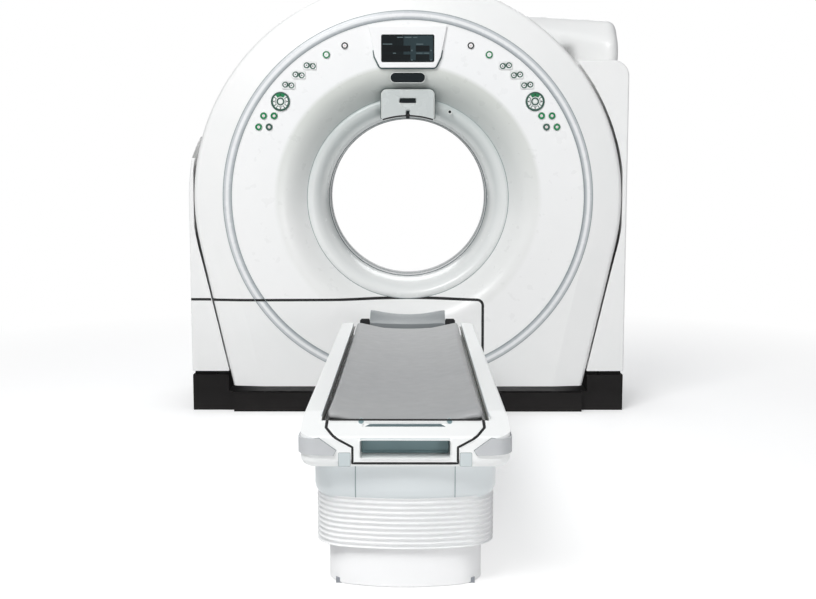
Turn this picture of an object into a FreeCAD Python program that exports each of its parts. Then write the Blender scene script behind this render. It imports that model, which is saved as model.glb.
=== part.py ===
import FreeCAD, Part
import math
import os

# A CT scanner: a round gantry that tilts between two stands on a low base, and a
# patient table in front of it. +X is to the right, +Y runs from the table into the
# gantry and +Z is up. The origin is on the floor, straight below the isocentre.

V = FreeCAD.Vector
os.makedirs("parts", exist_ok=True)

# ---- driving dimensions, millimetres and degrees ----
ISO_Z = 980.0               # height of the isocentre, the tilt and scan axes
WALL = 6.0                  # moulded cover wall
SEAT = 0.3                  # gap between pieces that lie against each other
OVER = 50.0                 # how far a cutting shape reaches past the piece

# gantry covers; radii are from the scan axis
BORE_R = 375.0              # clear radius of the patient tunnel
TUNNEL_FRONT = -120.0       # straight tunnel, front end
TUNNEL_REAR = 100.0         # straight tunnel, rear end
BORE_RING_R = 466.0         # rounded ring about the tunnel mouth, outer radius
BORE_RING_Y = -296.0        # where that ring meets the dish
BORE_RING_CROWN = 30.0      # the ring swells forward by about this much
DISH_R = 600.0              # the dish flattens into the control face here
FACE_R = 801.0              # control face, outer radius
RING_W = 39.0               # trim ring, width
RING_R = FACE_R + RING_W    # trim ring, outer radius
RING_PROUD = 5.0            # trim ring stands out of the face by this much
RING_EDGE = 4.0             # its edges are this much lower than its crown
FACE_Y = -400.0             # front plane of the gantry
FACE_SLOPE = 10.0           # the control face falls back this much to the dish
TILT_BACK = 20              # top of the gantry away from the table
TILT_FORWARD = 30           # top of the gantry towards the table
COVER_R = 979.0             # front cover, largest radius
COVER_EDGE_R = COVER_R - 19.0       # its front face ends here in a rounded edge
COVER_EDGE_Y = -382.0       # where the front face has fallen back to
COVER_SIDE_Y = -348.0       # from here back the cover keeps its largest radius
COVER_BACK_Y = -110.0       # rear rim of the front cover
COVER_TAPER = 12.5          # lower sides of the front cover lean in by this angle
COVER_BOTTOM_Z = 116.0
REAR_R = 800.0              # rear drum, outer radius
REAR_Y = 440.0              # rear plane of the gantry
REAR_MOUTH_R = 575.0        # rear flare of the tunnel, at the rear plane
REAR_LIP = 30.0             # the flare turns into the rear face over this width
REAR_EDGE_R = 60.0          # rounding of the rear drum's edge

SEAM_Z = 517.0              # level seam across the covers
SEAM_X = 345.0              # upright seam right of the bore
SEAM_W = 12.0               # width of the seam
SEAM_CORNER_R = 26.0
SEAM_DEPTH = 3.0            # the gasket lies this far below the covers

# stands on both sides of the tilting covers
STAND_GAP = 6.0             # room between the stand and the sweep of the front cover
STAND_T = 41.0              # stand beside the widest place of the cover
STAND_X = COVER_R + STAND_GAP + STAND_T     # stand covers, outer half-width
STAND_NARROW = 24.0         # the front of a stand is this much narrower on its outer side
STAND_FRONT_Y = -365.0
STAND_REAR_Y = 410.0
STAND_BOTTOM_Z = 182.0
STAND_WALL = 4.0
STAND_EDGE_R = 8.0          # rounding of the front outer edge
STAND_SHARES = (0.0, 0.12, 0.28, 0.52, 0.76, 1.0)   # sections from the front back to the cover's rim
BACK_GAP = 24.0             # room behind the sweep of the front cover's rim
DRUM_GAP = 12.0             # room beside the rear drum
CABINET_Z = ISO_Z + COVER_R - 354.0     # top of the right-hand cabinet
CABINET_CORNER_R = 72.0
HOUSING_IN_X = 565.0        # rear upper housing, inner and outer side
HOUSING_OUT_X = STAND_X - 10.0
HOUSING_IN_Y = 250.0        # its front at the inner and at the outer side
HOUSING_OUT_Y = -50.0
HOUSING_IN_Z = (1823.0, 1890.0)     # top of the upright front and ridge, inner side
HOUSING_OUT_Z = (1707.0, 1828.0)    # the same on the outer side
HOUSING_RIDGE = 110.0       # from the front back to the ridge
HOUSING_CORNER_R = 40.0

# base
BASE_HALF_X = STAND_X - 28.0        # black base, half-width over the side boxes
SIDE_BOX_W = 166.0          # high part of the skirt, from the outer side in
BASE_SIDE_IN_X = BASE_HALF_X - SIDE_BOX_W
BASE_FRONT_HALF_X = BASE_SIDE_IN_X - 28.0
BASE_FRONT_Y = -415.0
BASE_SIDE_Y = -375.0        # front of the side boxes
BASE_SIDE_Z = STAND_BOTTOM_Z - 16.0
BASE_FRONT_Z = 89.0
BASE_REAR_Y = 455.0
SKIRT_WALL = 8.0
SKIRT_PLAY = 2.0            # between the skirt and the beams
NECK_INSET = 12.0           # the neck under a stand is this much smaller than the stand
PLATE_T = 15.0              # floor plate
PLATE_INSET_FRONT = 15.0    # floor plate, from the front of the side boxes
PLATE_INSET_REAR = 25.0
ANCHOR_HOLE_R = 9.0
ANCHOR_INSET_FRONT = 60.0   # anchor holes, from the skirt's front and rear
ANCHOR_INSET_REAR = 70.0
ANCHOR_INSET_SIDE = 24.0    # anchor holes, from the low skirt's ends
BEAM_W = 106.0
BEAM_IN_X = BASE_HALF_X - BEAM_W
BEAM_T = 10.0
POST_INSET = 20.0           # the post stands this far in from the beam's inner side
POST_H = 40.0               # the post rises this much above the side boxes
ARM_FOOT_H = 18.0           # thickness of the arm's foot
ARM_PLAY = 2.0              # between the arm and the stand's walls
ARM_X = COVER_R + STAND_GAP + STAND_WALL + ARM_PLAY     # stand arm plates, inner face
ARM_T = 26.0
ARM_HALF_TOP = 80.0
ARM_FRONT_Y = -100.0
ARM_REAR_Y = 300.0
TRUNNION_R = 60.0
TRUNNION_PLAY = 0.05
TRUNNION_ROOM = 12.0        # between the shaft and the holes in the covers
TRUNNION_IN_X = 700.0       # inner end of the shaft
COLLAR_X = 735.0
COLLAR_T = 40.0
COLLAR_PROUD = 30.0

# inside the gantry
FRAME_R = REAR_R - WALL - SEAT  # tilt frame ring, outer radius
FRAME_BORE_R = 690.0
FRAME_Y0 = -80.0            # front of the frame
FRAME_Y1 = 120.0
WEB_T = 15.0                # web that holds the bearing
ROTOR_R = 684.0             # rotor drum, outer radius
ROTOR_BORE_R = 415.0
ROTOR_Y0 = 30.0
ROTOR_PLATE_T = 30.0
ROTOR_RIM_T = 20.0
ROTOR_HUB_T = 12.0
ROTOR_DEPTH = 130.0         # rim, towards the rear
BEARING_R = 560.0           # main bearing, pitch radius
BEARING_W = 26.0
BEARING_PROUD = 2.0         # the races stand in front of the web by this much
BEARING_T = 30.0
RACE_PLAY = 0.05
TUBE_R = 105.0
TUBE_LEN = 300.0
TUBE_AT = 560.0             # centre of the X-ray tube from the scan axis
TUBE_EDGE_R = 20.0
SADDLE_HALF = (90.0, 60.0)  # tube's saddle, half-width and half-height
COLLIMATOR_HALF = (60.0, 110.0)     # half-width at the tube and at the tunnel
COLLIMATOR_GAP = 4.0        # from the rotor's hub
DETECTOR_R = 480.0
DETECTOR_T = 110.0
DETECTOR_DEPTH = 130.0
DETECTOR_HALF_DEG = 29.0
TANK_X = (490.0, 620.0)     # high-voltage tanks, inner and outer side
TANK_HALF_H = 120.0
TANK_DEPTH = 140.0
TANK_EDGE_R = 15.0
SLIP_RING_T = 24.0
SLIP_GROOVES = 3
SLIP_GROOVE_W = 3.0
SLIP_GROOVE_PITCH = 7.0
STATOR_R = 650.0            # ring motor on the frame's web
STATOR_BORE_R = 600.0
STATOR_T = 28.0
STATOR_EDGE_R = 4.0

# display and alignment block; heights are from the isocentre
BEZEL_TOP_HALF = 176.0      # display bezel, half-widths
BEZEL_WAIST_HALF = 148.0
BEZEL_BOTTOM_HALF = 124.0
BEZEL_TOP_Z = 772.0
BEZEL_WAIST_Z = 636.0
BEZEL_BOTTOM_Z = 588.0
BEZEL_T = 12.0
BEZEL_CORNER_R = 14.0
BEZEL_EDGE_R = 4.0
SCREEN_HALF_W = 119.0
SCREEN_Z0 = 612.0
SCREEN_Z1 = 734.0
SCREEN_T = 3.0
SCREEN_SUNK = 2.0           # the screen lies this far behind the bezel's front
SCREEN_CORNER_R = 8.0
PILL_HALF_W = 78.0
PILL_Z = 545.0
PILL_H = 44.0
PILL_FRONT_Y = FACE_Y + 4.0
AIM_HALF_W = 119.0          # alignment block
AIM_TOP_Z = 492.0
AIM_BOTTOM_Z = 352.0
AIM_Y0 = -372.0
AIM_Y1 = -235.0
AIM_CORNER_R = 22.0
AIM_EDGE_R = 5.0
SLOT_DEPTH = 8.0
SLOT = (40.0, 432.0, 456.0, 10.0)   # half-width, bottom, top, corner radius
KEYHOLE = (10.0, 362.0, 404.0, 9.0)

# keys
STOP_R = 15.0
START_R = 17.0
ROUND_R = 16.0
KEYS_R = 742.0              # the keys lie on this circle
STOP_DEG = 22.4             # places on the circle, from the top
START_DEG = 29.5
ROCKER_DEG = (36.4, 41.4, 46.4)
ROCKER_W = 60.0
ROCKER_H = 34.0
ROCKER_CORNER_R = 8.0
ROCKER_HOLLOW_R = 30.0      # the hollow across a rocker's middle
ROCKER_HOLLOW_DEPTH = 2.0
PAD_DEG = 52.6
PAD_AT_R = 722.0
PAD_R = 43.0
PAD_GROOVE = (0.36, 0.42, 2.0)      # inner and outer share of the radius, and depth
ROUND_DEG = 61.3
ROUND_AT_R = 728.0
ROUND_PITCH_X = 47.0
ROUND_PITCH_Z = 50.0
ROUND_SKEW = 23.0
KEY_EDGE_R = 2.5
KEY_PROUD = 5.0
KEY_DEPTH = 22.0
KEY_GAP = 1.0
KEY_TRAVEL = 3.0
WELL_WALL = 3.0

# patient table
TABLE_HALF_W = 280.0        # table frame
TABLE_HEAD_Y = -800.0
TABLE_FOOT_Y = -2790.0
TABLE_CORNER_R = 44.0       # corners seen from above
TABLE_TOP_EDGE_R = 10.0
TABLE_LOW_EDGE_R = 26.0
TABLE_WALL = 12.0
RAIL_W = 52.0
RAIL_TOP_Z = 468.0
TABLE_BOTTOM_Z = 345.0
DECK_Z = 414.0              # deck between the rails
FOOT_SLOPE_Y = 160.0        # the foot end slopes over this length
FOOT_SLOPE_Z = 37.0
FOOT_NOSE = 4.0             # chamfer between the slope and the end face
FOOT_NOSE_Z = 4.0
INSERT_LOW = 13.0           # foot insert, above the frame's bottom
INSERT_NARROW = 141.0       # its half-width below and above the shoulder
INSERT_WIDE = 214.0
INSERT_SHOULDER_Z = (403.0, 443.0)
GROOVE_W = 3.0              # open joint about the foot insert
GROOVE_DEPTH = 5.0
POCKET_HALF_W = 120.0
POCKET_Z0 = 372.0
POCKET_Z1 = 421.0
POCKET_DEPTH = 60.0
POCKET_CORNER_R = 6.0
RECESS_HALF_W = 115.0       # shallow recess on the foot slope
RECESS_Y = (61.0, 86.0)     # from the end face
RECESS_DEPTH = 4.0
CRADLE_HALF_W = 212.0
CRADLE_Z0 = DECK_Z + SEAT
CRADLE_T = 12.0
CRADLE_SAG = 22.0
CRADLE_FOOT_GAP = 4.0       # from the mattress's foot to the cradle's
CRADLE_HEAD_OVER = 10.0     # the cradle passes the table's head by this much
TONGUE_LOW = 4.0            # the tongue lies this much lower, and sags less by 6
TONGUE_LESS_SAG = 6.0
TONGUE_BACK = 40.0          # the tongue ends this far before the headrest's tip
MATTRESS_HALF_W = 210.0
MATTRESS_EDGE_Z = 473.0
MATTRESS_SAG = 26.0
MATTRESS_FOOT_Y = -2680.0
MATTRESS_HEAD_Y = -806.0
MATTRESS_BULGE = 4.0        # the sides swell by this much
MATTRESS_ENDS = ((0.0, 8.0, 12.0), (9.0, 2.0, 4.0), (30.0, 0.0, 0.0))   # along, in, down
TROUGH_GAP = 12.0           # from the mattress to the end of its trough
HEADREST_HALF_W = 158.0
HEADREST_TIP_Y = -650.0
HEADREST_RIM = 14.0
HEADREST_SHAPE = ((0.0, 4.0, 6.0, 26.0), (0.58, 0.0, 20.0, 32.0), (1.0, -2.0, 36.0, 40.0))
CASING_HALF_W = 249.0
CASING_Z0 = 239.0
CASING_HEAD_Y = -1380.0
CASING_FOOT_INSET = 30.0
CASING_CORNER_R = 45.0
CASING_EDGE_R = 18.0
CASING_SEAM_X = 134.0
CASING_SEAM_GAP = 1.0       # half of the joint between two panels
CASING_SEAM_DEPTH = 60.0    # the foot panel reaches back this far
BELLOWS_HALF_W = 232.0
BELLOWS_Z0 = 112.0
BELLOWS_FOLDS = 10
BELLOWS_DEPTH = 14.0
BELLOWS_WALL = 1.5
BELLOWS_CORNER_R = 70.0
BELLOWS_LIP = 12.0          # the lowest ply lies this far in over the plinth
BELLOWS_TUCK = 14.0         # the highest ply reaches this far up into the casing
PLINTH_HALF_W = 211.0
PLINTH_FOOT_Y = -2740.0
PLINTH_HEAD_Y = -1420.0
PLINTH_CORNER_R = 60.0
COLUMN_W = 150.0            # lift columns, outer tube side
COLUMN_WALL = 8.0
COLUMN_CORNER_R = 6.0
COLUMN_PLAY = 0.3
COLUMN_STAGES = 3
COLUMN_STAGGER = 4.0        # each stage stands this much higher at rest
COLUMN_SHORT = 30.0         # the fixed tubes end this far under the frame
COLUMN_CAP_T = 10.0
COLUMN_AT = (-2450.0, -1750.0)
TABLE_PLATE_INSET = (20.0, 40.0)    # table's floor plate, inside the plinth
TABLE_ANCHOR_X = 150.0
TABLE_ANCHOR_INSET = 90.0
BUMPER_PROUD = 6.0
BUMPER_GLUE = 0.05
BUMPER_LEAF = ((183.0, 394.0), (191.0, 381.0), (310.0, 384.0), (310.0, 424.0), (228.0, 427.0))
BUMPER_WRAP = 90.0          # it reaches this far along the side; the leaf is (x, z) from the foot


def save(shape, name):
    """Write one sub-part."""
    shape.exportStep("parts/" + name + ".step")


def iso(x, y, z):
    """A point given from the isocentre."""
    return V(x, y, ISO_Z + z)


def path_wire(steps, place):
    """A closed wire from a first point and steps, each given to place(*point).

    ("l", point) is a line, ("a", middle, point) an arc and ("c", a, b, point) a cubic curve.
    """
    edges = []
    here = steps[0]
    first = here
    for step in steps[1:]:
        there = step[-1]
        if step[0] == "l":
            edges.append(Part.makeLine(place(*here), place(*there)))
        elif step[0] == "a":
            edges.append(Part.Arc(place(*here), place(*step[1]), place(*there)).toShape())
        else:
            curve = Part.BezierCurve()
            curve.setPoles([place(*here), place(*step[1]), place(*step[2]), place(*there)])
            edges.append(curve.toShape())
        here = there
    if here != first:
        edges.append(Part.makeLine(place(*here), place(*first)))
    return Part.Wire(edges)


def turned(steps):
    """Revolve a closed (radius, y) profile about the scan axis."""
    face = Part.Face(path_wire(steps, lambda r, y: iso(r, y, 0)))
    return face.revolve(iso(0, 0, 0), V(0, 1, 0), 360)


def disc(radius, y0, y1):
    """A cylinder on the scan axis."""
    return Part.makeCylinder(radius, y1 - y0, iso(0, y0, 0), V(0, 1, 0))


def tube(outer, inner, y0, y1):
    """A ring on the scan axis."""
    return disc(outer, y0, y1).cut(disc(inner, y0 - 1, y1 + 1))


def block(x0, x1, y0, y1, z0, z1):
    """A box between two corners."""
    return Part.makeBox(x1 - x0, y1 - y0, z1 - z0, V(x0, y0, z0))


def slab(points, y0, y1):
    """A straight-sided plate along Y from (x, z) corners."""
    wire = Part.makePolygon([V(x, y0, z) for x, z in points + points[:1]])
    return Part.Face(wire).extrude(V(0, y1 - y0, 0))


def side_slab(points, x0, x1):
    """A plate along X from (y, z) corners."""
    wire = Part.makePolygon([V(x0, y, z) for y, z in points + points[:1]])
    return Part.Face(wire).extrude(V(x1 - x0, 0, 0))


def rounded(shape, radius, wanted):
    """Round the edges whose middle passes the test."""
    edges = []
    for edge in shape.Edges:
        middle = edge.valueAt((edge.FirstParameter + edge.LastParameter) / 2)
        if wanted(edge, middle):
            edges.append(edge)
    return shape.makeFillet(radius, edges)


def along(edge, axis):
    """True for a straight edge along an axis."""
    if edge.Curve.TypeId != "Part::GeomLine":
        return False
    return abs(edge.tangentAt(edge.FirstParameter).dot(axis)) > 0.999


def mirrored(shape):
    """The same piece on the other side of the X = 0 plane."""
    return shape.mirror(V(0, 0, 0), V(1, 0, 0))


# ---- gantry covers ----
TAPER = math.radians(COVER_TAPER)


def cover_profile(inset):
    """(radius, y) steps of the front cover, drawn in by inset."""
    front = FACE_Y + inset
    edge = (COVER_EDGE_R - 0.6 * inset, COVER_EDGE_Y + inset)
    largest = COVER_R - inset
    side_y = COVER_SIDE_Y + 0.2 * inset
    out = 0.6 * (largest - edge[0])
    back = 0.5 * (side_y - edge[1])
    return [(0, front), ("l", (RING_R, front)), ("l", edge),
            ("c", (edge[0] + out, edge[1] + 2.0), (largest, side_y - back), (largest, side_y)),
            ("l", (largest, COVER_BACK_Y)), ("l", (0, COVER_BACK_Y))]


def cover_body(inset):
    """The filled front cover: a turned disc with two tapering legs, drawn in by inset."""
    level = Part.Face(path_wire(cover_profile(inset), lambda r, y: iso(r, y, 0)))
    first = level.copy()
    first.rotate(iso(0, 0, 0), V(0, 1, 0), COVER_TAPER)
    body = first.revolve(iso(0, 0, 0), V(0, 1, 0), -(180 + 2 * COVER_TAPER))
    for side in (1, -1):
        section = level.copy()
        section.rotate(iso(0, 0, 0), V(0, 1, 0), COVER_TAPER if side > 0 else 180 - COVER_TAPER)
        down = V(-side * math.sin(TAPER), 0, -math.cos(TAPER)) * (COVER_R + 2 * OVER)
        body = body.fuse(section.extrude(down))
    bottom = COVER_BOTTOM_Z + inset
    wide = COVER_R + OVER
    body = body.cut(block(-wide, wide, FACE_Y - OVER, COVER_BACK_Y + OVER, bottom - COVER_R, bottom))
    return body.removeSplitter()


def front_cover_shell():
    """The front cover's wall, with round openings for the trim ring and the rear drum."""
    wide = COVER_R + OVER
    behind = block(-wide, wide, COVER_BACK_Y - WALL, COVER_BACK_Y + OVER, 0, ISO_Z + wide)
    shell = cover_body(0).cut(cover_body(WALL).cut(behind))
    shell = shell.cut(disc(RING_R + SEAT, FACE_Y - OVER, FACE_Y + OVER))
    return shell.cut(disc(REAR_R + SEAT, COVER_BACK_Y - OVER, COVER_BACK_Y + OVER))


def dish_profile(inset):
    """(radius, y) steps of the control face and the dish, from outside to the bore ring."""
    face_y = FACE_Y + inset
    fall = FACE_SLOPE
    return [(FACE_R - SEAT, face_y), ("l", (DISH_R, face_y + fall)),
            ("c", (DISH_R - 70, face_y + fall + 4), (BORE_RING_R + 40, BORE_RING_Y - 42 + inset),
             (BORE_RING_R, BORE_RING_Y + inset))]


def dish_shell():
    """The wall of the control face and the dish."""
    outer = dish_profile(0)
    inner = dish_profile(WALL)
    steps = outer + [("l", inner[-1][-1]),
                     ("c", inner[-1][2], inner[-1][1], inner[1][-1]),
                     ("l", inner[0])]
    return turned(steps)


def mouth_curve(bore, ring_y):
    """The swelling curve from the bore ring's outer edge into the tunnel."""
    return ("c", (BORE_RING_R - 36, ring_y - BORE_RING_CROWN), (bore + 3, ring_y + 36), (bore, TUNNEL_FRONT))


def front_room(gap):
    """Everything behind the visible face of the dish and the bore ring, grown by gap."""
    dish = dish_profile(-gap)
    inside = BORE_R - gap
    outside = FACE_R + SEAM_CORNER_R
    return turned([(outside, FACE_Y - gap)] + [("l", dish[0])] + dish[1:]
                  + [mouth_curve(inside, BORE_RING_Y - gap), ("l", (inside, 0.0)), ("l", (outside, 0.0))])


def trim_ring():
    """A half-round band about the control face, with a foot behind it."""
    y = FACE_Y - RING_PROUD
    foot = FACE_Y + 2 * WALL
    middle = (FACE_R + RING_R) / 2
    return turned([(FACE_R, foot), ("l", (FACE_R, y + RING_EDGE)),
                   ("a", (middle, y), (RING_R, y + RING_EDGE)), ("l", (RING_R, foot))])


def bore_ring():
    """The rounded mouth of the tunnel."""
    return turned([(BORE_RING_R - SEAT, BORE_RING_Y), mouth_curve(BORE_R, BORE_RING_Y),
                   ("l", (BORE_R + WALL, TUNNEL_FRONT)),
                   ("c", (BORE_R + 2 * WALL, BORE_RING_Y + 50), (BORE_RING_R - 40, BORE_RING_Y - 18),
                    (BORE_RING_R - SEAT, BORE_RING_Y + 2 * WALL))])


def bore_liner():
    """The straight tube that closes the tunnel towards the rotor."""
    return tube(BORE_R + WALL, BORE_R, TUNNEL_FRONT + SEAT, TUNNEL_REAR - SEAT)


def rear_funnel():
    """The flared rear mouth of the tunnel, out to the flat rear face."""
    t = WALL
    flare = REAR_MOUTH_R - 60
    lip = REAR_MOUTH_R + REAR_LIP
    return turned([(BORE_R, TUNNEL_REAR), ("l", (BORE_R + t, TUNNEL_REAR)),
                   ("c", (BORE_R + t + 20, TUNNEL_REAR + 120), (flare, REAR_Y - REAR_LIP - t),
                    (lip, REAR_Y - t)),
                   ("l", (lip, REAR_Y)),
                   ("c", (flare, REAR_Y - REAR_LIP), (BORE_R + 14, TUNNEL_REAR + 124),
                    (BORE_R, TUNNEL_REAR))])


def rear_cover():
    """Rear drum: side wall, rounded edge and flat rear face about the funnel."""
    e = REAR_EDGE_R
    t = WALL
    k = (1 - math.sqrt(0.5)) * e
    front = COVER_BACK_Y - WALL
    lip = REAR_MOUTH_R + REAR_LIP + SEAT
    shape = turned([(lip, REAR_Y - t), ("l", (REAR_R - e, REAR_Y - t)),
                    ("a", (REAR_R - t - k, REAR_Y - t - k), (REAR_R - t, REAR_Y - e)),
                    ("l", (REAR_R - t, front)), ("l", (REAR_R, front)),
                    ("l", (REAR_R, REAR_Y - e)),
                    ("a", (REAR_R - k, REAR_Y - k), (REAR_R - e, REAR_Y)),
                    ("l", (lip, REAR_Y)), ("l", (lip, REAR_Y - t))])
    for side in (1, -1):
        start = V(side * FRAME_BORE_R, 0, ISO_Z)
        reach = REAR_R - FRAME_BORE_R + OVER
        hole = Part.makeCylinder(TRUNNION_R + TRUNNION_ROOM, reach, start, V(side, 0, 0))
        shape = shape.cut(hole)
    return shape


def seam_region(grow):
    """Everything below and left of the seam's middle line, grown by grow."""
    x = SEAM_X + grow
    z = SEAM_Z + grow
    q = SEAM_CORNER_R + grow
    h = q * (1 - math.sqrt(0.5))
    left = -STAND_X - OVER
    steps = [(left, z), ("l", (x - q, z)), ("a", (x - h, z - h), (x, z - q)),
             ("l", (x, -OVER)), ("l", (left, -OVER))]
    wire = path_wire(steps, lambda a, b: V(a, FACE_Y - OVER, b))
    return Part.Face(wire).extrude(V(0, STAND_REAR_Y - FACE_Y + 2 * OVER, 0))


def seam_band():
    """The slab that the seam takes out of the covers."""
    return seam_region(SEAM_W / 2).cut(seam_region(-SEAM_W / 2))


# ---- keys on the control face ----
def face_y_at(radius):
    """Depth of the control face at a radius."""
    return FACE_Y + FACE_SLOPE * (FACE_R - radius) / (FACE_R - DISH_R)


def key_spots(side):
    """Name, kind, x and z from the isocentre for each key on one side."""
    label = "left" if side < 0 else "right"
    spots = []

    def polar(radius, degrees):
        a = math.radians(degrees)
        return side * radius * math.sin(a), radius * math.cos(a)

    spots.append((label + "_stop_button", "stop", polar(KEYS_R, STOP_DEG)))
    spots.append((label + "_start_button", "start", polar(KEYS_R, START_DEG)))
    for number, degrees in enumerate(ROCKER_DEG):
        spots.append((label + "_rocker_" + str(number + 1), "rocker", polar(KEYS_R, degrees)))
    spots.append((label + "_arrow_pad", "pad", polar(PAD_AT_R, PAD_DEG)))
    cx, cz = polar(ROUND_AT_R, ROUND_DEG)
    number = 0
    for row in (0.5, -0.5):
        for column in (-0.5, 0.5):
            number += 1
            x = cx + side * (ROUND_PITCH_X * column - ROUND_SKEW * row)
            spots.append((label + "_round_button_" + str(number), "round", (x, cz + ROUND_PITCH_Z * row)))
    return spots


def key_size(kind):
    """Radius of a round key."""
    return {"stop": STOP_R, "start": START_R, "round": ROUND_R, "pad": PAD_R}[kind]


def key_front_y(x, z):
    """Front plane of a key."""
    return face_y_at(math.hypot(x, z)) - KEY_PROUD


def key_shape(kind, x, z):
    """A key: a domed round cap, a four-way pad or a rocker."""
    y = key_front_y(x, z)
    if kind == "rocker":
        shape = block(x - ROCKER_W / 2, x + ROCKER_W / 2, y, y + KEY_DEPTH,
                      ISO_Z + z - ROCKER_H / 2, ISO_Z + z + ROCKER_H / 2)
        shape = rounded(shape, ROCKER_CORNER_R, lambda e, m: along(e, V(0, 1, 0)))
        centre = V(x, y - ROCKER_HOLLOW_R + ROCKER_HOLLOW_DEPTH, ISO_Z + z - OVER)
        return shape.cut(Part.makeCylinder(ROCKER_HOLLOW_R, 2 * OVER, centre, V(0, 0, 1)))
    radius = key_size(kind)
    shape = Part.makeCylinder(radius, KEY_DEPTH, iso(x, y, z), V(0, 1, 0))
    shape = rounded(shape, KEY_EDGE_R, lambda e, m: abs(m.y - y) < 0.01)
    if kind == "pad":
        inner, outer, depth = PAD_GROOVE
        groove = Part.makeCylinder(radius * outer, 2 * depth, iso(x, y - depth, z), V(0, 1, 0))
        core = Part.makeCylinder(radius * inner, 2 * depth, iso(x, y - depth, z), V(0, 1, 0))
        shape = shape.cut(groove.cut(core))
    return shape


def key_well(kind, x, z, gap):
    """The opening that a key moves in."""
    y0 = FACE_Y - OVER
    y1 = FACE_Y + 2 * OVER
    if kind == "rocker":
        shape = block(x - ROCKER_W / 2 - gap, x + ROCKER_W / 2 + gap, y0, y1,
                      ISO_Z + z - ROCKER_H / 2 - gap, ISO_Z + z + ROCKER_H / 2 + gap)
        return rounded(shape, ROCKER_CORNER_R + gap, lambda e, m: along(e, V(0, 1, 0)))
    return Part.makeCylinder(key_size(kind) + gap, y1 - y0, iso(x, y0, z), V(0, 1, 0))


def key_cup(kind, x, z):
    """The cup behind the face that guides a key."""
    y0 = face_y_at(math.hypot(x, z)) + 0.5 * WALL
    y1 = key_front_y(x, z) + KEY_DEPTH + KEY_TRAVEL + 2 * WELL_WALL
    reach = PAD_R + OVER

    def slice_of(shape, start, end):
        return shape.common(block(x - reach, x + reach, start, end, ISO_Z + z - reach, ISO_Z + z + reach))

    outer = slice_of(key_well(kind, x, z, KEY_GAP + WELL_WALL), y0, y1)
    return outer.cut(slice_of(key_well(kind, x, z, KEY_GAP), y0 - OVER, y1 - WELL_WALL))


# ---- display and alignment block ----
def bezel_outline(gap):
    """The bezel's (x, z) corners, grown by gap."""
    top = BEZEL_TOP_HALF + gap
    waist = BEZEL_WAIST_HALF + gap
    low = BEZEL_BOTTOM_HALF + gap
    z_top = ISO_Z + BEZEL_TOP_Z + gap
    z_waist = ISO_Z + BEZEL_WAIST_Z
    z_low = ISO_Z + BEZEL_BOTTOM_Z - gap
    return [(-top, z_top), (top, z_top), (waist, z_waist), (low, z_low), (-low, z_low), (-waist, z_waist)]


def screen_block(gap):
    """The screen, grown by gap, with rounded corners."""
    y = FACE_Y - BEZEL_T + SCREEN_SUNK
    shape = block(-SCREEN_HALF_W - gap, SCREEN_HALF_W + gap, y, y + SCREEN_T + gap,
                  ISO_Z + SCREEN_Z0 - gap, ISO_Z + SCREEN_Z1 + gap)
    return rounded(shape, SCREEN_CORNER_R + gap, lambda e, m: along(e, V(0, 1, 0)))


def bezel():
    """A tapering frame from the trim ring down to the dish, with a window for the screen."""
    y0 = FACE_Y - BEZEL_T
    shape = slab(bezel_outline(0), y0, FACE_Y + FACE_SLOPE + WALL)
    shape = rounded(shape, BEZEL_CORNER_R,
                    lambda e, m: along(e, V(0, 1, 0)) and m.z < ISO_Z + BEZEL_TOP_Z - 1)
    shape = rounded(shape, BEZEL_EDGE_R, lambda e, m: abs(m.y - y0) < 0.01)
    seat = screen_block(SEAT)
    window = seat.copy()
    window.translate(V(0, -SCREEN_T, 0))
    return shape.cut(seat).cut(window)


def bezel_seat():
    """Room for the bezel in the dish."""
    return slab(bezel_outline(SEAT), FACE_Y - OVER, FACE_Y + FACE_SLOPE + WALL + SEAT)


def pill_window():
    """A dark window with round ends below the display."""
    shape = block(-PILL_HALF_W, PILL_HALF_W, PILL_FRONT_Y, PILL_FRONT_Y + OVER,
                  ISO_Z + PILL_Z - PILL_H / 2, ISO_Z + PILL_Z + PILL_H / 2)
    shape = rounded(shape, PILL_H / 2 - SEAT, lambda e, m: along(e, V(0, 1, 0)))
    return shape.cut(front_room(SEAT))


def aim_opening(half, z0, z1, corner):
    """A slot in the alignment block's front."""
    shape = block(-half, half, AIM_Y0 - SLOT_DEPTH, AIM_Y0 + SLOT_DEPTH, ISO_Z + z0, ISO_Z + z1)
    return rounded(shape, corner, lambda e, m: along(e, V(0, 1, 0)))


def aim_block():
    """The alignment lamp's block, with a slot and a keyhole slot in its face."""
    shape = block(-AIM_HALF_W, AIM_HALF_W, AIM_Y0, AIM_Y1, ISO_Z + AIM_BOTTOM_Z, ISO_Z + AIM_TOP_Z)
    shape = rounded(shape, AIM_CORNER_R, lambda e, m: along(e, V(0, 1, 0)) and m.z > ISO_Z + AIM_TOP_Z - 1)
    shape = rounded(shape, AIM_EDGE_R, lambda e, m: abs(m.y - AIM_Y0) < 0.01)
    return shape.cut(aim_opening(*SLOT)).cut(aim_opening(*KEYHOLE)).cut(front_room(SEAT))


# ---- stands and base ----
def cover_half_width(y, z):
    """Half-width of the front cover at a place in its own frame, and 0 off the cover."""
    if not (FACE_Y <= y <= COVER_BACK_Y) or z < COVER_BOTTOM_Z - ISO_Z:
        return 0.0
    radius = COVER_R
    if y < COVER_EDGE_Y:
        radius = RING_R + (COVER_EDGE_R - RING_R) * (y - FACE_Y) / (COVER_EDGE_Y - FACE_Y)
    knee = -radius * math.sin(TAPER)
    if z >= knee:
        return math.sqrt(max(radius ** 2 - z ** 2, 0))
    return radius * math.cos(TAPER) - (knee - z) * math.tan(TAPER)


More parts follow.
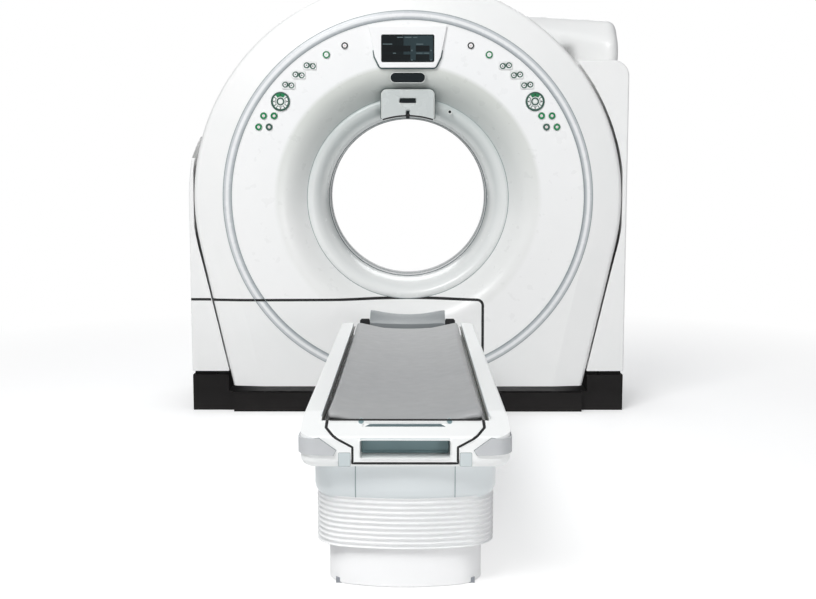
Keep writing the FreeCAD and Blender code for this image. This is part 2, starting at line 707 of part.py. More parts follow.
def swept_half_width(y, z):
    """Half-width that the tilting front cover can reach at a fixed point (y, z)."""
    widest = 0.0
    for half_degrees in range(-2 * TILT_BACK, 2 * TILT_FORWARD + 1):
        a = math.radians(half_degrees / 2)
        own_y = y * math.cos(a) + z * math.sin(a)
        own_z = -y * math.sin(a) + z * math.cos(a)
        widest = max(widest, cover_half_width(own_y, own_z))
    return widest


def stand_out(y):
    """Outer half-width of a stand at a depth: the front is narrower."""
    share = min(max((COVER_BACK_Y - y) / (COVER_BACK_Y - STAND_FRONT_Y), 0.0), 1.0)
    return STAND_X - STAND_NARROW * share


def neck_out():
    """Outer half-width of the neck between a side box and its stand."""
    return stand_out(STAND_FRONT_Y) - NECK_INSET


def post_room(z0, z1):
    """Room for the right-hand post in the skirt and in the stand's floor."""
    return block(BEAM_IN_X + POST_INSET - SKIRT_PLAY, neck_out() - SKIRT_WALL,
                 ARM_FRONT_Y - SKIRT_PLAY, ARM_REAR_Y + SKIRT_PLAY, z0, z1)


def stand_section(y, inset, levels, top):
    """A closed outline of a stand at a depth; its inner edge clears the tilting cover."""
    inner = [V(swept_half_width(y, z) + STAND_GAP + inset, y, ISO_Z + z) for z in levels]
    curve = Part.BSplineCurve()
    curve.interpolate(inner)
    out = stand_out(y) - inset
    corners = [inner[-1], V(inner[-1].x, y, top), V(out, y, top), V(out, y, inner[0].z), inner[0]]
    if inner[-1].z > top - 1:
        corners = [inner[-1]] + corners[2:]
    edges = [curve.toShape()]
    edges += [Part.makeLine(a, b) for a, b in zip(corners, corners[1:])]
    return Part.Wire(edges)


def stand_back(inset, top):
    """The deep part of a stand, behind the rear rim of the tilting cover, as seen from the side."""
    shift = inset * 1.2 + BACK_GAP
    rise = (top - ISO_Z) * math.tan(math.radians(TILT_BACK))
    low = STAND_BOTTOM_Z + inset
    fall = (ISO_Z - low) * math.tan(math.radians(TILT_FORWARD))
    rear = STAND_REAR_Y - inset
    points = [(COVER_BACK_Y + shift + BACK_GAP, ISO_Z), (COVER_BACK_Y + rise + shift, top), (rear, top),
              (rear, low), (min(COVER_BACK_Y + fall + shift, rear - 20), low)]
    return side_slab(points, REAR_R + DRUM_GAP + inset, STAND_X - inset)


def stand_solid(inset, cabinet):
    """A stand cover as a filled shape, drawn in by inset."""
    low = STAND_BOTTOM_Z - ISO_Z + inset
    top = (CABINET_Z if cabinet else ISO_Z + STAND_X) - inset
    high = top - ISO_Z if cabinet else 0.0
    count = 17 if cabinet else 11
    levels = [low + (high - low) * n / (count - 1) for n in range(count)]
    front = STAND_FRONT_Y + inset
    places = [front + share * (COVER_BACK_Y - front) for share in STAND_SHARES]
    sections = [stand_section(y, inset, levels, top) for y in places]
    shape = Part.makeLoft(sections, True, True)
    shape = shape.fuse(Part.Face(sections[-1]).extrude(V(0, STAND_REAR_Y - inset - COVER_BACK_Y, 0)))
    shape = shape.fuse(stand_back(inset, top)).removeSplitter()
    if cabinet:
        shape = rounded(shape, CABINET_CORNER_R - inset,
                        lambda e, m: m.z > top - 1 and abs(m.x - stand_out(m.y) + inset) < 1)
    else:
        front_out = stand_out(front) - inset
        out = STAND_X - inset
        keep = turned([(0, front - 1), ("l", (front_out, front - 1)), ("l", (out, COVER_BACK_Y)),
                       ("l", (out, STAND_REAR_Y)), ("l", (0, STAND_REAR_Y))])
        straight = block(0, out, front - 1, STAND_REAR_Y, 0, ISO_Z)
        shape = shape.common(keep.fuse(straight))
    if inset:
        return shape
    return rounded(shape, STAND_EDGE_R,
                   lambda e, m: abs(m.y - front) < 0.01 and m.x > stand_out(front) - CABINET_CORNER_R
                   and m.z > low + ISO_Z + 1 and (abs(m.x - stand_out(front)) < 1 or m.z > ISO_Z + 100))


def stand_shell(cabinet):
    """A stand cover's walls and floor, with a hole for the trunnion and one for the post."""
    shell = stand_solid(0, cabinet).cut(stand_solid(STAND_WALL, cabinet))
    reach = ARM_X + ARM_PLAY - REAR_R
    hole = Part.makeCylinder(TRUNNION_R + TRUNNION_ROOM, reach, V(REAR_R, 0, ISO_Z), V(1, 0, 0))
    return shell.cut(hole).cut(post_room(STAND_BOTTOM_Z - OVER, STAND_BOTTOM_Z + OVER))


def housing():
    """The rear upper housing: its front slants back over the drum, its top falls outwards."""
    z0 = CABINET_Z + SEAT

    def end(x, y, heights):
        front, ridge = heights
        return Part.makePolygon([V(x, y, z0), V(x, y, front), V(x, y + HOUSING_RIDGE, ridge),
                                 V(x, STAND_REAR_Y, ridge), V(x, STAND_REAR_Y, z0), V(x, y, z0)])

    shape = Part.makeLoft([end(HOUSING_IN_X, HOUSING_IN_Y, HOUSING_IN_Z),
                           end(HOUSING_OUT_X, HOUSING_OUT_Y, HOUSING_OUT_Z)], True, True)
    shape = rounded(shape, HOUSING_CORNER_R,
                    lambda e, m: m.x > HOUSING_OUT_X - 1 and m.y < STAND_REAR_Y - 1 and m.z > z0 + 1)
    half = REAR_R * 0.72
    room = Part.makeCylinder(math.hypot(half, REAR_Y) + DRUM_GAP, OVER + REAR_R - HOUSING_IN_X + DRUM_GAP,
                             V(HOUSING_IN_X - OVER, 0, ISO_Z), V(1, 0, 0))
    return shape.cut(room)


def base_frame():
    """Floor plate, two side beams, and a stand arm with a trunnion bore on each."""
    y0 = BASE_SIDE_Y + PLATE_INSET_FRONT
    y1 = BASE_REAR_Y - PLATE_INSET_REAR
    beam_out = BASE_HALF_X - SKIRT_WALL - SKIRT_PLAY
    beam_top = BASE_SIDE_Z - SKIRT_WALL
    post_top = BASE_SIDE_Z + POST_H
    post_out = neck_out() - SKIRT_WALL - SKIRT_PLAY
    low = post_top - ARM_FOOT_H
    shape = block(-BEAM_IN_X, BEAM_IN_X, y0, y1, 0, PLATE_T)
    for side in (1, -1):
        beam = block(BEAM_IN_X, beam_out, y0, y1, 0, beam_top - SEAT)
        hollow = block(BEAM_IN_X + BEAM_T, beam_out - BEAM_T, y0 - OVER, y1 + OVER,
                       BEAM_T, beam_top - BEAM_T)
        post = block(BEAM_IN_X + POST_INSET, post_out, ARM_FRONT_Y, ARM_REAR_Y, beam_top - BEAM_T, post_top)
        arm = side_slab([(ARM_FRONT_Y, low), (ARM_REAR_Y, low), (ARM_HALF_TOP, ISO_Z),
                         (ARM_HALF_TOP, ISO_Z + ARM_HALF_TOP), (-ARM_HALF_TOP, ISO_Z + ARM_HALF_TOP),
                         (-ARM_HALF_TOP, ISO_Z)], ARM_X, ARM_X + ARM_T)
        foot = block(BEAM_IN_X + POST_INSET, ARM_X + ARM_T, ARM_FRONT_Y, ARM_REAR_Y, low, post_top)
        bore = Part.makeCylinder(TRUNNION_R + TRUNNION_PLAY, ARM_T + 2 * OVER,
                                 V(ARM_X - OVER, 0, ISO_Z), V(1, 0, 0))
        piece = beam.cut(hollow).fuse([post, arm, foot]).cut(bore)
        shape = shape.fuse(piece if side > 0 else mirrored(piece))
    shape = shape.removeSplitter()
    for x in (-1, 1):
        for y in (BASE_SIDE_Y + ANCHOR_INSET_FRONT, BASE_REAR_Y - ANCHOR_INSET_REAR):
            at = V(x * (BASE_FRONT_HALF_X - ANCHOR_INSET_SIDE), y, -PLATE_T)
            shape = shape.cut(Part.makeCylinder(ANCHOR_HOLE_R, 3 * PLATE_T, at, V(0, 0, 1)))
    return shape


def base_skirt():
    """Black cladding: a low front wall, high side boxes with a neck on top, and a rear wall."""
    t = SKIRT_WALL
    front_x = BASE_FRONT_HALF_X
    shape = block(-front_x, front_x, BASE_FRONT_Y, BASE_FRONT_Y + t, 0, BASE_FRONT_Z)
    shape = shape.fuse([block(-front_x, front_x, BASE_FRONT_Y, BASE_SIDE_Y, BASE_FRONT_Z - t, BASE_FRONT_Z),
                        block(-BASE_HALF_X, BASE_HALF_X, BASE_REAR_Y - t, BASE_REAR_Y, 0, BASE_FRONT_Z)])
    top_in = BEAM_IN_X - SKIRT_PLAY
    neck_top = STAND_BOTTOM_Z - SEAT
    neck_front = STAND_FRONT_Y + NECK_INSET
    neck_rear = STAND_REAR_Y - NECK_INSET
    out = neck_out()
    for side in (1, -1):
        wing = block(BASE_SIDE_IN_X, BASE_HALF_X, BASE_SIDE_Y, BASE_SIDE_Y + t, 0, BASE_SIDE_Z)
        neck = block(BEAM_IN_X, out, neck_front, neck_rear, BASE_SIDE_Z - t, neck_top)
        room = block(BEAM_IN_X + t, out - t, neck_front + t, neck_rear - t, 0, neck_top + OVER)
        walls = [block(front_x - t, BASE_SIDE_IN_X + t, BASE_SIDE_Y, BASE_SIDE_Y + t, 0, BASE_FRONT_Z),
                 block(front_x - t, front_x, BASE_FRONT_Y, BASE_SIDE_Y + t, 0, BASE_FRONT_Z),
                 block(BASE_HALF_X - t, BASE_HALF_X, BASE_SIDE_Y, BASE_REAR_Y, 0, BASE_SIDE_Z),
                 block(top_in, BASE_HALF_X, BASE_SIDE_Y, BASE_REAR_Y, BASE_SIDE_Z - t, BASE_SIDE_Z),
                 block(top_in, BASE_HALF_X, BASE_REAR_Y - t, BASE_REAR_Y, 0, BASE_SIDE_Z),
                 neck.cut(room)]
        opening = post_room(BASE_SIDE_Z - 3 * t, STAND_BOTTOM_Z - SEAT - t)
        wing = wing.fuse(walls).cut(opening)
        shape = shape.fuse(wing if side > 0 else mirrored(wing))
    return shape.removeSplitter()


# ---- inside the gantry ----
def tilt_frame():
    """A steel ring with a trunnion shaft on each side and a web that holds the main bearing."""
    shape = tube(FRAME_R, FRAME_BORE_R, FRAME_Y0, FRAME_Y1)
    web = tube(FRAME_BORE_R + WALL, BEARING_R + BEARING_W / 2, FRAME_Y0, FRAME_Y0 + WEB_T)
    shape = shape.fuse(web)
    for side in (1, -1):
        out = V(side, 0, 0)
        length = ARM_X + ARM_T - TRUNNION_IN_X
        shaft = Part.makeCylinder(TRUNNION_R, length, V(side * TRUNNION_IN_X, 0, ISO_Z), out)
        collar = Part.makeCylinder(TRUNNION_R + COLLAR_PROUD, COLLAR_T, V(side * COLLAR_X, 0, ISO_Z), out)
        shape = shape.fuse(shaft.fuse(collar))
    clear = disc(FRAME_BORE_R, FRAME_Y0 + WEB_T, FRAME_Y1 + OVER)
    return shape.cut(clear).removeSplitter()


def main_bearing():
    """The bearing's outer race, held in the frame's web."""
    front = FRAME_Y0 - BEARING_PROUD
    return tube(BEARING_R + BEARING_W / 2 - SEAT, BEARING_R, front, front + BEARING_T)


def rotor_drum():
    """A drum with a face plate, a rim, a hub and the bearing's inner race."""
    plate = tube(ROTOR_R, ROTOR_BORE_R, ROTOR_Y0, ROTOR_Y0 + ROTOR_PLATE_T)
    rim = tube(ROTOR_R, ROTOR_R - ROTOR_RIM_T, ROTOR_Y0, ROTOR_Y0 + ROTOR_DEPTH)
    hub = tube(ROTOR_BORE_R + ROTOR_HUB_T, ROTOR_BORE_R, ROTOR_Y0, ROTOR_Y0 + ROTOR_DEPTH)
    race = tube(BEARING_R - RACE_PLAY, BEARING_R - BEARING_W, FRAME_Y0 - BEARING_PROUD, ROTOR_Y0 + WALL)
    return plate.fuse([rim, hub, race]).removeSplitter()


def xray_tube():
    """The tube's round housing, lying along the rotor on a saddle."""
    y = ROTOR_Y0 + ROTOR_PLATE_T
    end = TUBE_LEN / 2
    body = Part.makeCylinder(TUBE_R, TUBE_LEN, iso(-end, y + TUBE_R + SEAT, TUBE_AT), V(1, 0, 0))
    body = rounded(body, TUBE_EDGE_R, lambda e, m: abs(abs(m.x) - end) < 0.01)
    half_w, half_h = SADDLE_HALF
    middle = ISO_Z + TUBE_AT
    saddle = block(-half_w, half_w, y, y + TUBE_R, middle - half_h, middle + half_h)
    room = disc(ROTOR_R - ROTOR_RIM_T - RING_EDGE, y - OVER, REAR_Y)
    return body.fuse(saddle).common(room).removeSplitter()


def collimator():
    """A fan-shaped box between the tube and the tunnel."""
    top = ISO_Z + TUBE_AT - TUBE_R - COLLIMATOR_GAP
    low = ISO_Z + ROTOR_BORE_R + ROTOR_HUB_T + COLLIMATOR_GAP
    narrow, wide = COLLIMATOR_HALF
    points = [(-narrow, top), (narrow, top), (wide, low), (-wide, low)]
    return slab(points, ROTOR_Y0 + ROTOR_PLATE_T, ROTOR_Y0 + ROTOR_DEPTH - SEAT)


def detector_arc():
    """The detector housing, an arc opposite the tube."""
    y = ROTOR_Y0 + ROTOR_PLATE_T
    ring = tube(DETECTOR_R + DETECTOR_T, DETECTOR_R, y, y + DETECTOR_DEPTH)
    a = math.radians(DETECTOR_HALF_DEG)
    far = 2 * DETECTOR_R
    left = (-far * math.sin(a), ISO_Z - far * math.cos(a))
    right = (-left[0], left[1])
    wedge = slab([(0, ISO_Z), left, right], y - OVER, REAR_Y)
    return ring.common(wedge)


def hv_generator():
    """Two tanks of the high-voltage generator, left and right of the tunnel."""
    y = ROTOR_Y0 + ROTOR_PLATE_T
    tank = block(*TANK_X, y, y + TANK_DEPTH, ISO_Z - TANK_HALF_H, ISO_Z + TANK_HALF_H)
    tank = rounded(tank, TANK_EDGE_R, lambda e, m: along(e, V(0, 1, 0)))
    return Part.makeCompound([tank, mirrored(tank)])


def slip_ring():
    """A grooved ring on the rotor's rear side that carries power and data."""
    y = ROTOR_Y0 + ROTOR_DEPTH
    outer = TUBE_AT - TUBE_R - COLLIMATOR_GAP
    shape = tube(outer, ROTOR_BORE_R + COLLIMATOR_GAP / 2, y, y + SLIP_RING_T)
    for n in range(SLIP_GROOVES):
        start = y + (n + 0.5) * SLIP_GROOVE_PITCH
        shape = shape.cut(tube(outer + OVER, outer - SLIP_GROOVE_W, start, start + SLIP_GROOVE_W))
    return shape


def drive_stator():
    """The ring motor's fixed winding, on the frame's web in front of the rotor plate."""
    y = FRAME_Y0 + WEB_T
    shape = tube(STATOR_R, STATOR_BORE_R, y, y + STATOR_T)
    return rounded(shape, STATOR_EDGE_R, lambda e, m: abs(m.y - (y + STATOR_T)) < 0.01)


# ---- patient table ----
def frame_profile(inset):
    """Side view of the table frame: level top, sloping foot end, flat bottom."""
    top = RAIL_TOP_Z - inset
    slope = TABLE_FOOT_Y + FOOT_SLOPE_Y
    nose = RAIL_TOP_Z - FOOT_SLOPE_Z - inset
    head = TABLE_HEAD_Y - inset
    foot = TABLE_FOOT_Y + inset
    bottom = TABLE_BOTTOM_Z + inset
    return [(head, bottom), (head, top), (slope, top), (foot + FOOT_NOSE, nose), (foot, nose - FOOT_NOSE_Z),
            (foot, bottom)]


def frame_solid(grow):
    """The table frame's outer form with rounded corners, grown by grow."""
    half = TABLE_HALF_W + grow
    shape = side_slab(frame_profile(-grow), -half, half)
    return rounded(shape, TABLE_CORNER_R + grow, lambda e, m: along(e, V(0, 0, 1)))


def couch_frame():
    """Rails, deck and foot block in one moulding, open underneath."""
    shape = frame_solid(0)
    shape = rounded(shape, TABLE_TOP_EDGE_R,
                    lambda e, m: abs(m.z - RAIL_TOP_Z) < 0.01 and abs(m.x) > TABLE_HALF_W - 1)
    shape = rounded(shape, TABLE_LOW_EDGE_R, lambda e, m: abs(m.z - TABLE_BOTTOM_Z) < 0.01)
    inner = TABLE_HALF_W - RAIL_W
    trough = block(-inner, inner, MATTRESS_FOOT_Y - TROUGH_GAP, TABLE_HEAD_Y + OVER,
                   DECK_Z, RAIL_TOP_Z + OVER)
    wall = TABLE_WALL
    side = TABLE_HALF_W - wall
    flat = side - TABLE_LOW_EDGE_R
    foot = TABLE_FOOT_Y + POCKET_DEPTH + 2 * wall
    head = TABLE_HEAD_Y - wall
    lip = TABLE_BOTTOM_Z + TABLE_LOW_EDGE_R
    hollow = block(-side, side, foot, head, lip, DECK_Z - wall)
    mouth = block(-flat, flat, foot, head - TABLE_LOW_EDGE_R, TABLE_BOTTOM_Z - OVER, lip + wall)
    return shape.cut(trough).cut(hollow).cut(mouth).cut(foot_cutter(0)).removeSplitter()


def foot_cutter(inset):
    """The block that the foot insert fills, drawn in by inset."""
    low = TABLE_BOTTOM_Z + INSERT_LOW + inset
    top = RAIL_TOP_Z + OVER
    wide = INSERT_WIDE - inset
    narrow = INSERT_NARROW - inset
    z0, z1 = INSERT_SHOULDER_Z
    outline = [(-narrow, low), (narrow, low), (narrow, z0), (wide, z1), (wide, top),
               (-wide, top), (-wide, z1), (-narrow, z0)]
    return slab(outline, TABLE_FOOT_Y - OVER, MATTRESS_FOOT_Y - TROUGH_GAP - WALL - inset)


def foot_insert():
    """The end panel with a deep pocket for the cables and a shallow recess on its slope.

    An open joint runs round it in the visible surface.
    """
    body = frame_solid(0)
    wide = TABLE_HALF_W
    skin = side_slab(frame_profile(GROOVE_DEPTH), -wide, wide)
    shape = body.common(foot_cutter(GROOVE_W)).fuse(skin.common(foot_cutter(SEAT))).removeSplitter()
    pocket = block(-POCKET_HALF_W, POCKET_HALF_W, TABLE_FOOT_Y - OVER, TABLE_FOOT_Y + POCKET_DEPTH,
                   POCKET_Z0, POCKET_Z1)
    pocket = rounded(pocket, POCKET_CORNER_R, lambda e, m: along(e, V(0, 1, 0)))
    near, far = RECESS_Y
    recess = block(-RECESS_HALF_W, RECESS_HALF_W, TABLE_FOOT_Y + near, TABLE_FOOT_Y + far,
                   0, RAIL_TOP_Z + OVER)
    floor = side_slab(frame_profile(RECESS_DEPTH), -wide, wide)
    return shape.cut(pocket).cut(recess.cut(floor))


def bumpers():
    """Soft leaf-shaped guards about the frame's foot corners."""
    leaf = slab(BUMPER_LEAF, TABLE_FOOT_Y - OVER, TABLE_FOOT_Y + BUMPER_WRAP)
    guard = frame_solid(BUMPER_PROUD).cut(frame_solid(BUMPER_GLUE)).common(leaf)
    return Part.makeCompound([guard, mirrored(guard)])


def sagging(half_w, edge_z, sag, y0, y1):
    """A dished plate: an arc across, the same along its length."""
    low = edge_z - CRADLE_T
    face = path_wire([(-half_w, edge_z), ("a", (0, edge_z - sag), (half_w, edge_z)), ("l", (half_w, low)),
                      ("a", (0, low - sag), (-half_w, low)), ("l", (-half_w, edge_z))],
                     lambda x, z: V(x, y0, z))
    return Part.Face(face).extrude(V(0, y1 - y0, 0))


def cradle():
    """The sliding carbon tabletop: a shallow shell, narrowing to the headrest's tongue."""
    edge = CRADLE_Z0 + CRADLE_SAG + CRADLE_T
    plate = sagging(CRADLE_HALF_W, edge, CRADLE_SAG, MATTRESS_FOOT_Y + CRADLE_FOOT_GAP,
                    TABLE_HEAD_Y + CRADLE_HEAD_OVER)
    tongue = sagging(HEADREST_HALF_W + CRADLE_FOOT_GAP, edge - TONGUE_LOW, CRADLE_SAG - TONGUE_LESS_SAG,
                     MATTRESS_HEAD_Y + SEAT, HEADREST_TIP_Y - TONGUE_BACK)
    return plate.fuse(tongue).removeSplitter()


def mattress():
    """A soft pad, dished across, with a drawn-in lip along its sides and ends."""
    low = CRADLE_Z0 + CRADLE_SAG + CRADLE_T + SEAT
    bulge = MATTRESS_BULGE

    def section(y, narrower, drop):
        half = MATTRESS_HALF_W - bulge - narrower
        top = MATTRESS_EDGE_Z - drop
        side = (low + top) / 2
        steps = [(-half, low), ("a", (-half - bulge, side), (-half + bulge, top)),
                 ("a", (0, top - MATTRESS_SAG), (half - bulge, top)),
                 ("a", (half + bulge, side), (half, low)),
                 ("a", (0, low - CRADLE_SAG), (-half, low))]
        return path_wire(steps, lambda x, z: V(x, y, z))

    foot = [section(MATTRESS_FOOT_Y + along_y, inward, drop) for along_y, inward, drop in MATTRESS_ENDS]
    head = [section(MATTRESS_HEAD_Y - along_y, inward, drop) for along_y, inward, drop in MATTRESS_ENDS]
    return Part.makeLoft(foot + head[::-1], True, True)


def headrest():
    """A dished head holder on the cradle's tongue, rising towards its tip."""
    base = CRADLE_Z0 + CRADLE_SAG + CRADLE_T - TONGUE_LOW + SEAT
    start = TABLE_HEAD_Y + CRADLE_HEAD_OVER + SEAT
    belly = base - CRADLE_SAG + TONGUE_LESS_SAG

    def section(share, wider, higher, sag):
        half = HEADREST_HALF_W + wider
        rim = MATTRESS_EDGE_Z + higher
        inner = half - HEADREST_RIM
        steps = [(-half, base), ("l", (-half, rim)), ("l", (-inner, rim)),
                 ("a", (0, rim - sag), (inner, rim)), ("l", (half, rim)), ("l", (half, base)),
                 ("a", (0, belly), (-half, base))]
        return path_wire(steps, lambda x, z: V(x, start + share * (HEADREST_TIP_Y - start), z))

    return Part.makeLoft([section(*values) for values in HEADREST_SHAPE], True, True)


def casing():
    """The deep cover under the frame: a foot panel with turned-in corners and two side panels."""
    y0 = TABLE_FOOT_Y + CASING_FOOT_INSET
    z1 = TABLE_BOTTOM_Z - SEAT
    t = WALL
    outer = block(-CASING_HALF_W, CASING_HALF_W, y0, CASING_HEAD_Y, CASING_Z0, z1)
    outer = rounded(outer, CASING_CORNER_R, lambda e, m: along(e, V(0, 0, 1)))
    outer = rounded(outer, CASING_EDGE_R, lambda e, m: abs(m.z - CASING_Z0) < 0.01)
    inner = block(-CASING_HALF_W + t, CASING_HALF_W - t, y0 + t, CASING_HEAD_Y - t,
                  CASING_Z0 - OVER, z1 + OVER)
    inner = rounded(inner, CASING_CORNER_R - t, lambda e, m: along(e, V(0, 0, 1)))
    shell = outer.cut(inner)
    edge = CASING_SEAM_X - CASING_SEAM_GAP
    deep = y0 + CASING_SEAM_DEPTH
    parts = [shell.common(block(-edge, edge, y0 - OVER, deep, 0, ISO_Z))]
    far = CASING_HALF_W + OVER
    for side in (1, -1):
        half = block(CASING_SEAM_X + CASING_SEAM_GAP, far, y0 - OVER, CASING_HEAD_Y + OVER, 0, ISO_Z)
        half = half.fuse(block(CASING_SEAM_GAP / 2, far, deep, CASING_HEAD_Y + OVER, 0, ISO_Z))
        parts.append(shell.common(half if side > 0 else mirrored(half)))
    return Part.makeCompound(parts)


def rounded_loop(half, y0, y1, radius, z):
    """A rounded rectangle at a height."""
    k = radius * (1 - math.sqrt(0.5))
    steps = [(-half + radius, y0),
             ("l", (half - radius, y0)), ("a", (half - k, y0 + k), (half, y0 + radius)),
             ("l", (half, y1 - radius)), ("a", (half - k, y1 - k), (half - radius, y1)),
             ("l", (-half + radius, y1)), ("a", (-half + k, y1 - k), (-half, y1 - radius)),
             ("l", (-half, y0 + radius)), ("a", (-half + k, y0 + k), (-half + radius, y0))]
    return path_wire(steps, lambda x, y: V(x, y, z))


def bellows():
    """A pleated sleeve about the lift columns, zigzag in section."""
    last = 2 * BELLOWS_FOLDS
    rise = (CASING_Z0 + BELLOWS_TUCK - BELLOWS_Z0 - 2 * SEAT) / last
    room = CASING_HALF_W - WALL - BELLOWS_HALF_W
    y0 = TABLE_FOOT_Y + CASING_FOOT_INSET + WALL + room
    y1 = CASING_HEAD_Y - WALL - room
    special = {0: BELLOWS_HALF_W - PLINTH_HALF_W + BELLOWS_LIP, last: SEAT - room}

    def ply(inset):
        loops = []
        for n in range(last + 1):
            d = inset + special.get(n, 0 if n % 2 else BELLOWS_DEPTH)
            loops.append(rounded_loop(BELLOWS_HALF_W - d, y0 + d, y1 - d, BELLOWS_CORNER_R - d / 2,
                                      BELLOWS_Z0 + SEAT + n * rise))
        return Part.makeLoft(loops, True, True)

    return ply(0).cut(ply(BELLOWS_WALL))


def plinth():
    """The pedestal's floor box, open below."""
    t = WALL
    outer = block(-PLINTH_HALF_W, PLINTH_HALF_W, PLINTH_FOOT_Y, PLINTH_HEAD_Y, 0, BELLOWS_Z0)
    outer = rounded(outer, PLINTH_CORNER_R, lambda e, m: along(e, V(0, 0, 1)))
    inner = block(-PLINTH_HALF_W + t, PLINTH_HALF_W - t, PLINTH_FOOT_Y + t, PLINTH_HEAD_Y - t,
                  -OVER, BELLOWS_Z0 - t)
    inner = rounded(inner, PLINTH_CORNER_R - t, lambda e, m: along(e, V(0, 0, 1)))
    shape = outer.cut(inner)
    w = COLUMN_W / 2 + SEAT
    for y in COLUMN_AT:
        shape = shape.cut(block(-w, w, y - w, y + w, BELLOWS_Z0 - OVER, BELLOWS_Z0 + OVER))
    return shape


def square_tube(width, y, z0, z1):
    """One lift column's tube."""
    w = width / 2
    inner = w - COLUMN_WALL
    outer = rounded(block(-w, w, y - w, y + w, z0, z1), COLUMN_CORNER_R, lambda e, m: along(e, V(0, 0, 1)))
    return outer.cut(block(-inner, inner, y - inner, y + inner, z0 - OVER, z1 + OVER))


def column_stage(number):
    """Both columns' tubes of one stage; stage 0 is fixed and carries the floor plate."""
    width = COLUMN_W - 2 * number * (COLUMN_WALL + COLUMN_PLAY)
    z0 = PLATE_T + number * COLUMN_STAGGER
    z1 = TABLE_BOTTOM_Z - COLUMN_SHORT + number * COLUMN_STAGGER
    if number == COLUMN_STAGES:
        z1 = DECK_Z - TABLE_WALL - SEAT
    tubes = [square_tube(width, y, z0, z1) for y in COLUMN_AT]
    if number == COLUMN_STAGES:
        w = width / 2
        caps = [block(-w, w, y - w, y + w, z1 - COLUMN_CAP_T, z1) for y in COLUMN_AT]
        return Part.makeCompound([t.fuse(cap) for t, cap in zip(tubes, caps)])
    if number > 0:
        return Part.makeCompound(tubes)
    side, end = TABLE_PLATE_INSET
    plate = block(-PLINTH_HALF_W + side, PLINTH_HALF_W - side, PLINTH_FOOT_Y + end, PLINTH_HEAD_Y - end,
                  0, PLATE_T)
    for x in (-1, 1):
        for y in (PLINTH_FOOT_Y + TABLE_ANCHOR_INSET, PLINTH_HEAD_Y - TABLE_ANCHOR_INSET):
            at = V(x * TABLE_ANCHOR_X, y, -PLATE_T)
            plate = plate.cut(Part.makeCylinder(ANCHOR_HOLE_R, 3 * PLATE_T, at, V(0, 0, 1)))
    return plate.fuse(tubes).removeSplitter()


def split_by_seam(shape, band, below):
    """The parts of a cover above and below the seam."""
    rest = shape.cut(band)
    return rest.cut(below), rest.common(below)


def main():
    """Write every sub-part."""
    dish = dish_shell()
    for side in (-1, 1):
        for name, kind, (x, z) in key_spots(side):
            save(key_shape(kind, x, z), name)
            dish = dish.cut(key_well(kind, x, z, KEY_GAP)).fuse(key_cup(kind, x, z))
    dish = dish.cut(bezel_seat())

    band = seam_band()
    below = seam_region(0)
    cover = front_cover_shell()
    ring = trim_ring()
    upper_cover, lower_cover = split_by_seam(cover, band, below)
    upper_dish, lower_dish = split_by_seam(dish, band, below)
    wide = COVER_R + OVER
    shallow = block(-wide, wide, FACE_Y - OVER, FACE_Y + SEAM_DEPTH, 0, ISO_Z + wide)
    save(upper_cover, "front_cover")
    save(Part.makeCompound([lower_cover] + lower_dish.Solids), "service_panel")
    save(upper_dish, "dish_cover")
    save(Part.makeCompound(split_by_seam(ring, band, below)), "trim_ring")
    save(cover.fuse([ring, dish]).common(band).cut(shallow), "seam_gasket")
    save(bore_ring(), "bore_ring")
    save(bore_liner(), "bore_liner")
    save(rear_cover(), "rear_cover")
    save(rear_funnel(), "rear_funnel")
    save(bezel(), "display_bezel")
    save(screen_block(0), "display_screen")
    save(pill_window(), "indicator_window")
    save(aim_block(), "alignment_block")
    save(stand_shell(True), "right_cabinet_cover")
    groove = band.cut(mirrored(stand_solid(SEAM_DEPTH, False)))
    save(mirrored(stand_shell(False)).cut(groove), "left_stand_covers")
    save(housing(), "rear_housing")
    save(base_frame(), "base_frame")
    save(base_skirt(), "base_skirt")
    save(tilt_frame(), "tilt_frame")
    save(main_bearing(), "main_bearing")
    save(rotor_drum(), "rotor_drum")
    save(xray_tube(), "xray_tube")
    save(collimator(), "collimator")
    save(detector_arc(), "detector_arc")
    save(hv_generator(), "hv_generator")
    save(slip_ring(), "slip_ring")
    save(drive_stator(), "drive_stator")
    save(couch_frame(), "couch_frame")
    save(foot_insert(), "foot_insert")
    save(bumpers(), "corner_bumpers")
    save(cradle(), "cradle")
    save(mattress(), "mattress")
    save(headrest(), "headrest")
    save(casing(), "couch_casing")
    save(bellows(), "bellows")
    save(plinth(), "table_plinth")
    for number, name in enumerate(("column_base", "column_stage_1", "column_stage_2", "column_top")):
        save(column_stage(number), name)


main()
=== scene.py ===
import math

import bmesh
import bpy
from mathutils import Matrix, Vector


